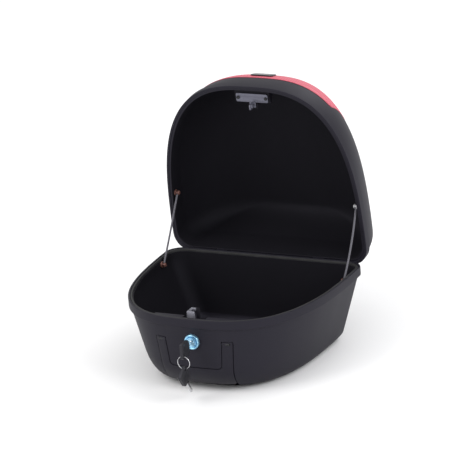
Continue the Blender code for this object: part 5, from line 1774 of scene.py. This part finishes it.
@dataclass
class CheckCords:
    """The two cords that hold the lid open, with their posts."""

    form: CaseForm
    finishes: Finishes
    radius: float = 0.0018
    tub_post_y: float = 0.08765
    tub_post_z: float = 0.1345
    lid_post_y: float = 0.05035
    lid_post_z: float = 0.1584
    shank: float = 0.0025
    bows: dict[Side, float] = field(default_factory=lambda: {Side.LEFT: 0.001, Side.RIGHT: 0.006})
    steps: int = 60

    def _plane(self, y: float, inset: float) -> float:
        """Return the x at which a cord lies beside the wall at a y."""
        f = self.form
        reach = max(0.0, f.widest - (y - 0.0060))
        wide = f.width / 2 - f.side_taper * reach
        half = wide * (1 - (reach / f.nose) ** f.nose_power) ** (1 / f.nose_power)
        return half * (1 - inset / (f.width / 2)) - 0.0004 - 0.0025 - 0.0043 / 2

    def route(self, side: Side) -> list[Vector]:
        """Return the cord's centreline from its tub post to its lid post.

        Args:
            side: Which cord.

        Returns:
            The points.
        """
        start = Vector((side.value * self._plane(self.tub_post_y, 0.0095), self.tub_post_y, self.tub_post_z))
        closed = Vector((side.value * self._plane(self.lid_post_y, 0.009), self.lid_post_y, self.lid_post_z))
        end = self.form.opening() @ closed
        along = (end - start).normalized()
        reach = self.shank + self.radius * 0.5 + 0.0003
        start += along * reach
        end -= along * reach
        outward = Vector((0, along.z, -along.y))
        bow = self.bows[side]
        points = []
        for i in range(self.steps + 1):
            t = i / self.steps
            points.append(start.lerp(end, t) + outward * bow * 4 * t * (1 - t))
        return points

    def cord(self, side: Side) -> bpy.types.Object:
        """Build one braided cord, bowed a little, from the tub's post to the open lid's post.

        Args:
            side: Which cord.

        Returns:
            The piece.
        """
        route = self.route(side)
        label = side.name.lower()
        tube = Workpiece("braided_cord_" + label)
        along_layer = tube.bm.verts.layers.float.new("along")
        around_layer = tube.bm.verts.layers.float.new("around")
        heading = (route[1] - route[0]).to_track_quat("Z", "Y").to_matrix().to_4x4()
        matrix = Matrix.Translation(route[0]) @ heading
        made = bmesh.ops.create_circle(tube.bm, segments=16, radius=self.radius, matrix=matrix)
        loop = made["verts"]
        for k, vert in enumerate(loop):
            vert[around_layer] = 2 * math.pi * k / 16
        edges = list({e for v in loop for e in v.link_edges})
        first = edges
        travelled = 0.0
        for here, there in zip(route, route[1:]):
            drawn = bmesh.ops.extrude_edge_only(tube.bm, edges=edges)["geom"]
            loop = [g for g in drawn if isinstance(g, bmesh.types.BMVert)]
            members = set(loop)
            edges = [
                g
                for g in drawn
                if isinstance(g, bmesh.types.BMEdge) and g.verts[0] in members and g.verts[1] in members
            ]
            bmesh.ops.translate(tube.bm, verts=loop, vec=there - here)
            travelled += (there - here).length
            for vert in loop:
                vert[along_layer] = travelled
        bmesh.ops.edgeloop_fill(tube.bm, edges=first)
        bmesh.ops.edgeloop_fill(tube.bm, edges=edges)
        bmesh.ops.recalc_face_normals(tube.bm, faces=tube.bm.faces[:])
        piece = tube.finish([self.finishes.cord], 60.0)
        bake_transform(piece)
        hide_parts("check_cord_" + label)
        log.info("%s: %.1f mm long", piece.name, travelled * 1000)
        return piece

    def posts(self) -> None:
        """Build the four turned posts."""
        for side in Side:
            label = side.name.lower()
            rivet = self.finishes.rivet
            Bench.refine("tub_cord_post_" + label, "tub_post_" + label, "tub", "rivet", rivet, 0.0005)
            lid_finish = rivet if side is Side.LEFT else self.finishes.pale
            slot = "rivet" if side is Side.LEFT else "pale"
            Bench.refine("lid_cord_post_" + label, "lid_post_" + label, "lid", slot, lid_finish, 0.0005)


# ----------------------------------------------------------------- rack plate


@dataclass
class RackPlate:
    """The waffle plate that stays on the luggage rack, with its two knobs."""

    finishes: Finishes

    def build(self) -> None:
        """Build the plate, the knobs and their bars."""
        Bench.refine("mounting_plate", "rack_plate", "plate", "shell", self.finishes.rack, 0.0)
        for end in ("front", "rear"):
            body = "knob_" + end
            Bench.refine("plate_knob_" + end, "knob_grip_" + end, body, "inner", self.finishes.bow, 0.0006)
            steel = self.finishes.steel
            Bench.refine("knob_bar_" + end, "knob_bar_steel_" + end, body, "steel", steel, 0.0003)


# --------------------------------------------------------------------- studio


@dataclass
class Studio:
    """Camera, lights and floor."""

    aim: Point3 = (-0.00743, 0.01547, 0.24749)
    azimuth: float = math.radians(26.154)
    elevation: float = math.radians(19.624)
    roll: float = math.radians(-4.698)
    distance: float = 6.059
    lens: float = 259.31

    def camera(self) -> bpy.types.Object:
        """Set up the camera and return it."""
        a, e, r = self.azimuth, self.elevation, self.roll
        back = Vector((math.sin(a) * math.cos(e), -math.cos(a) * math.cos(e), math.sin(e)))
        level = Vector((math.cos(a), math.sin(a), 0.0))
        rise = back.cross(level)
        right = level * math.cos(r) + rise * math.sin(r)
        up = back.cross(right)
        data = bpy.data.cameras.new("camera")
        data.sensor_width = 36.0
        data.lens = self.lens
        data.clip_start = 0.05
        data.clip_end = 200.0
        camera = bpy.data.objects.new("camera", data)
        bpy.context.scene.collection.objects.link(camera)
        matrix = Matrix((right, up, back)).transposed().to_4x4()
        matrix.translation = Vector(self.aim) + back * self.distance
        camera.matrix_world = matrix
        bpy.context.scene.camera = camera
        return camera

    def floor(self, material: bpy.types.Material) -> None:
        """Lay the floor.

        Args:
            material: Its finish.
        """
        ground = Workpiece("studio_floor")
        bmesh.ops.create_grid(ground.bm, x_segments=8, y_segments=8, size=60.0)
        bmesh.ops.translate(ground.bm, verts=ground.bm.verts[:], vec=(0, 0, -0.0005))
        ground.finish([material])

    def _lamp(self, name: str, place: Point3, size: float, power: float, colour: Colour) -> None:
        """Hang one square soft light that looks at the case.

        Args:
            name: The lamp's name.
            place: Where it hangs.
            size: Its side.
            power: Watts.
            colour: Its tint.
        """
        data = bpy.data.lights.new(name, "AREA")
        data.shape = "SQUARE"
        data.size = size
        data.energy = power
        data.color = colour
        lamp = bpy.data.objects.new(name, data)
        bpy.context.scene.collection.objects.link(lamp)
        lamp.location = place
        lamp.rotation_euler = (Vector((0, 0, 0.2)) - Vector(place)).to_track_quat("-Z", "Y").to_euler()

    def lights(self) -> None:
        """Hang the soft lights and light the room."""
        world = bpy.data.worlds.new("room")
        world.use_nodes = True
        back = world.node_tree.nodes["Background"]
        back.inputs["Color"].default_value = (1.0, 1.0, 1.0, 1.0)
        back.inputs["Strength"].default_value = 0.95
        bpy.context.scene.world = world
        self._lamp("key_lamp", (-1.6, -1.8, 2.4), 1.6, 34.0, (1.0, 0.99, 0.98))
        self._lamp("side_lamp", (2.2, -0.6, 1.6), 1.4, 26.0, (0.98, 0.98, 1.0))
        self._lamp("rear_lamp", (0.6, 2.4, 2.2), 1.6, 22.0, (1.0, 1.0, 1.0))


def main() -> None:
    """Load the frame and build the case."""
    logging.basicConfig(level=logging.INFO, format="%(message)s")
    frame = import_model()
    Bench.nodes = dict(frame["nodes"])
    bpy.context.scene.view_settings.view_transform = "Standard"
    studio = Studio()
    studio.camera()
    form = CaseForm()
    finishes = Finishes((0.0, form.front, 0.103))
    cords = CheckCords(form, finishes)
    for side in Side:
        cords.cord(side)
    cords.posts()
    handle = CarryHandle(form, finishes)
    tub = Tub(form, finishes)
    tub.shell(handle.channel(), handle.pin_bores())
    tub.seal()
    tub.hinge_pins()
    handle.grip()
    handle.pins()
    lid = Lid(form, finishes)
    lid.shell()
    lid.reflector()
    lid.catch()
    lock = Lock(form, finishes)
    lock.face()
    lock.works()
    keys = KeySet(finishes)
    keys.keys()
    keys.ring()
    RackPlate(finishes).build()
    studio.floor(finishes.floor)
    studio.lights()


if __name__ == "__main__":
    main()
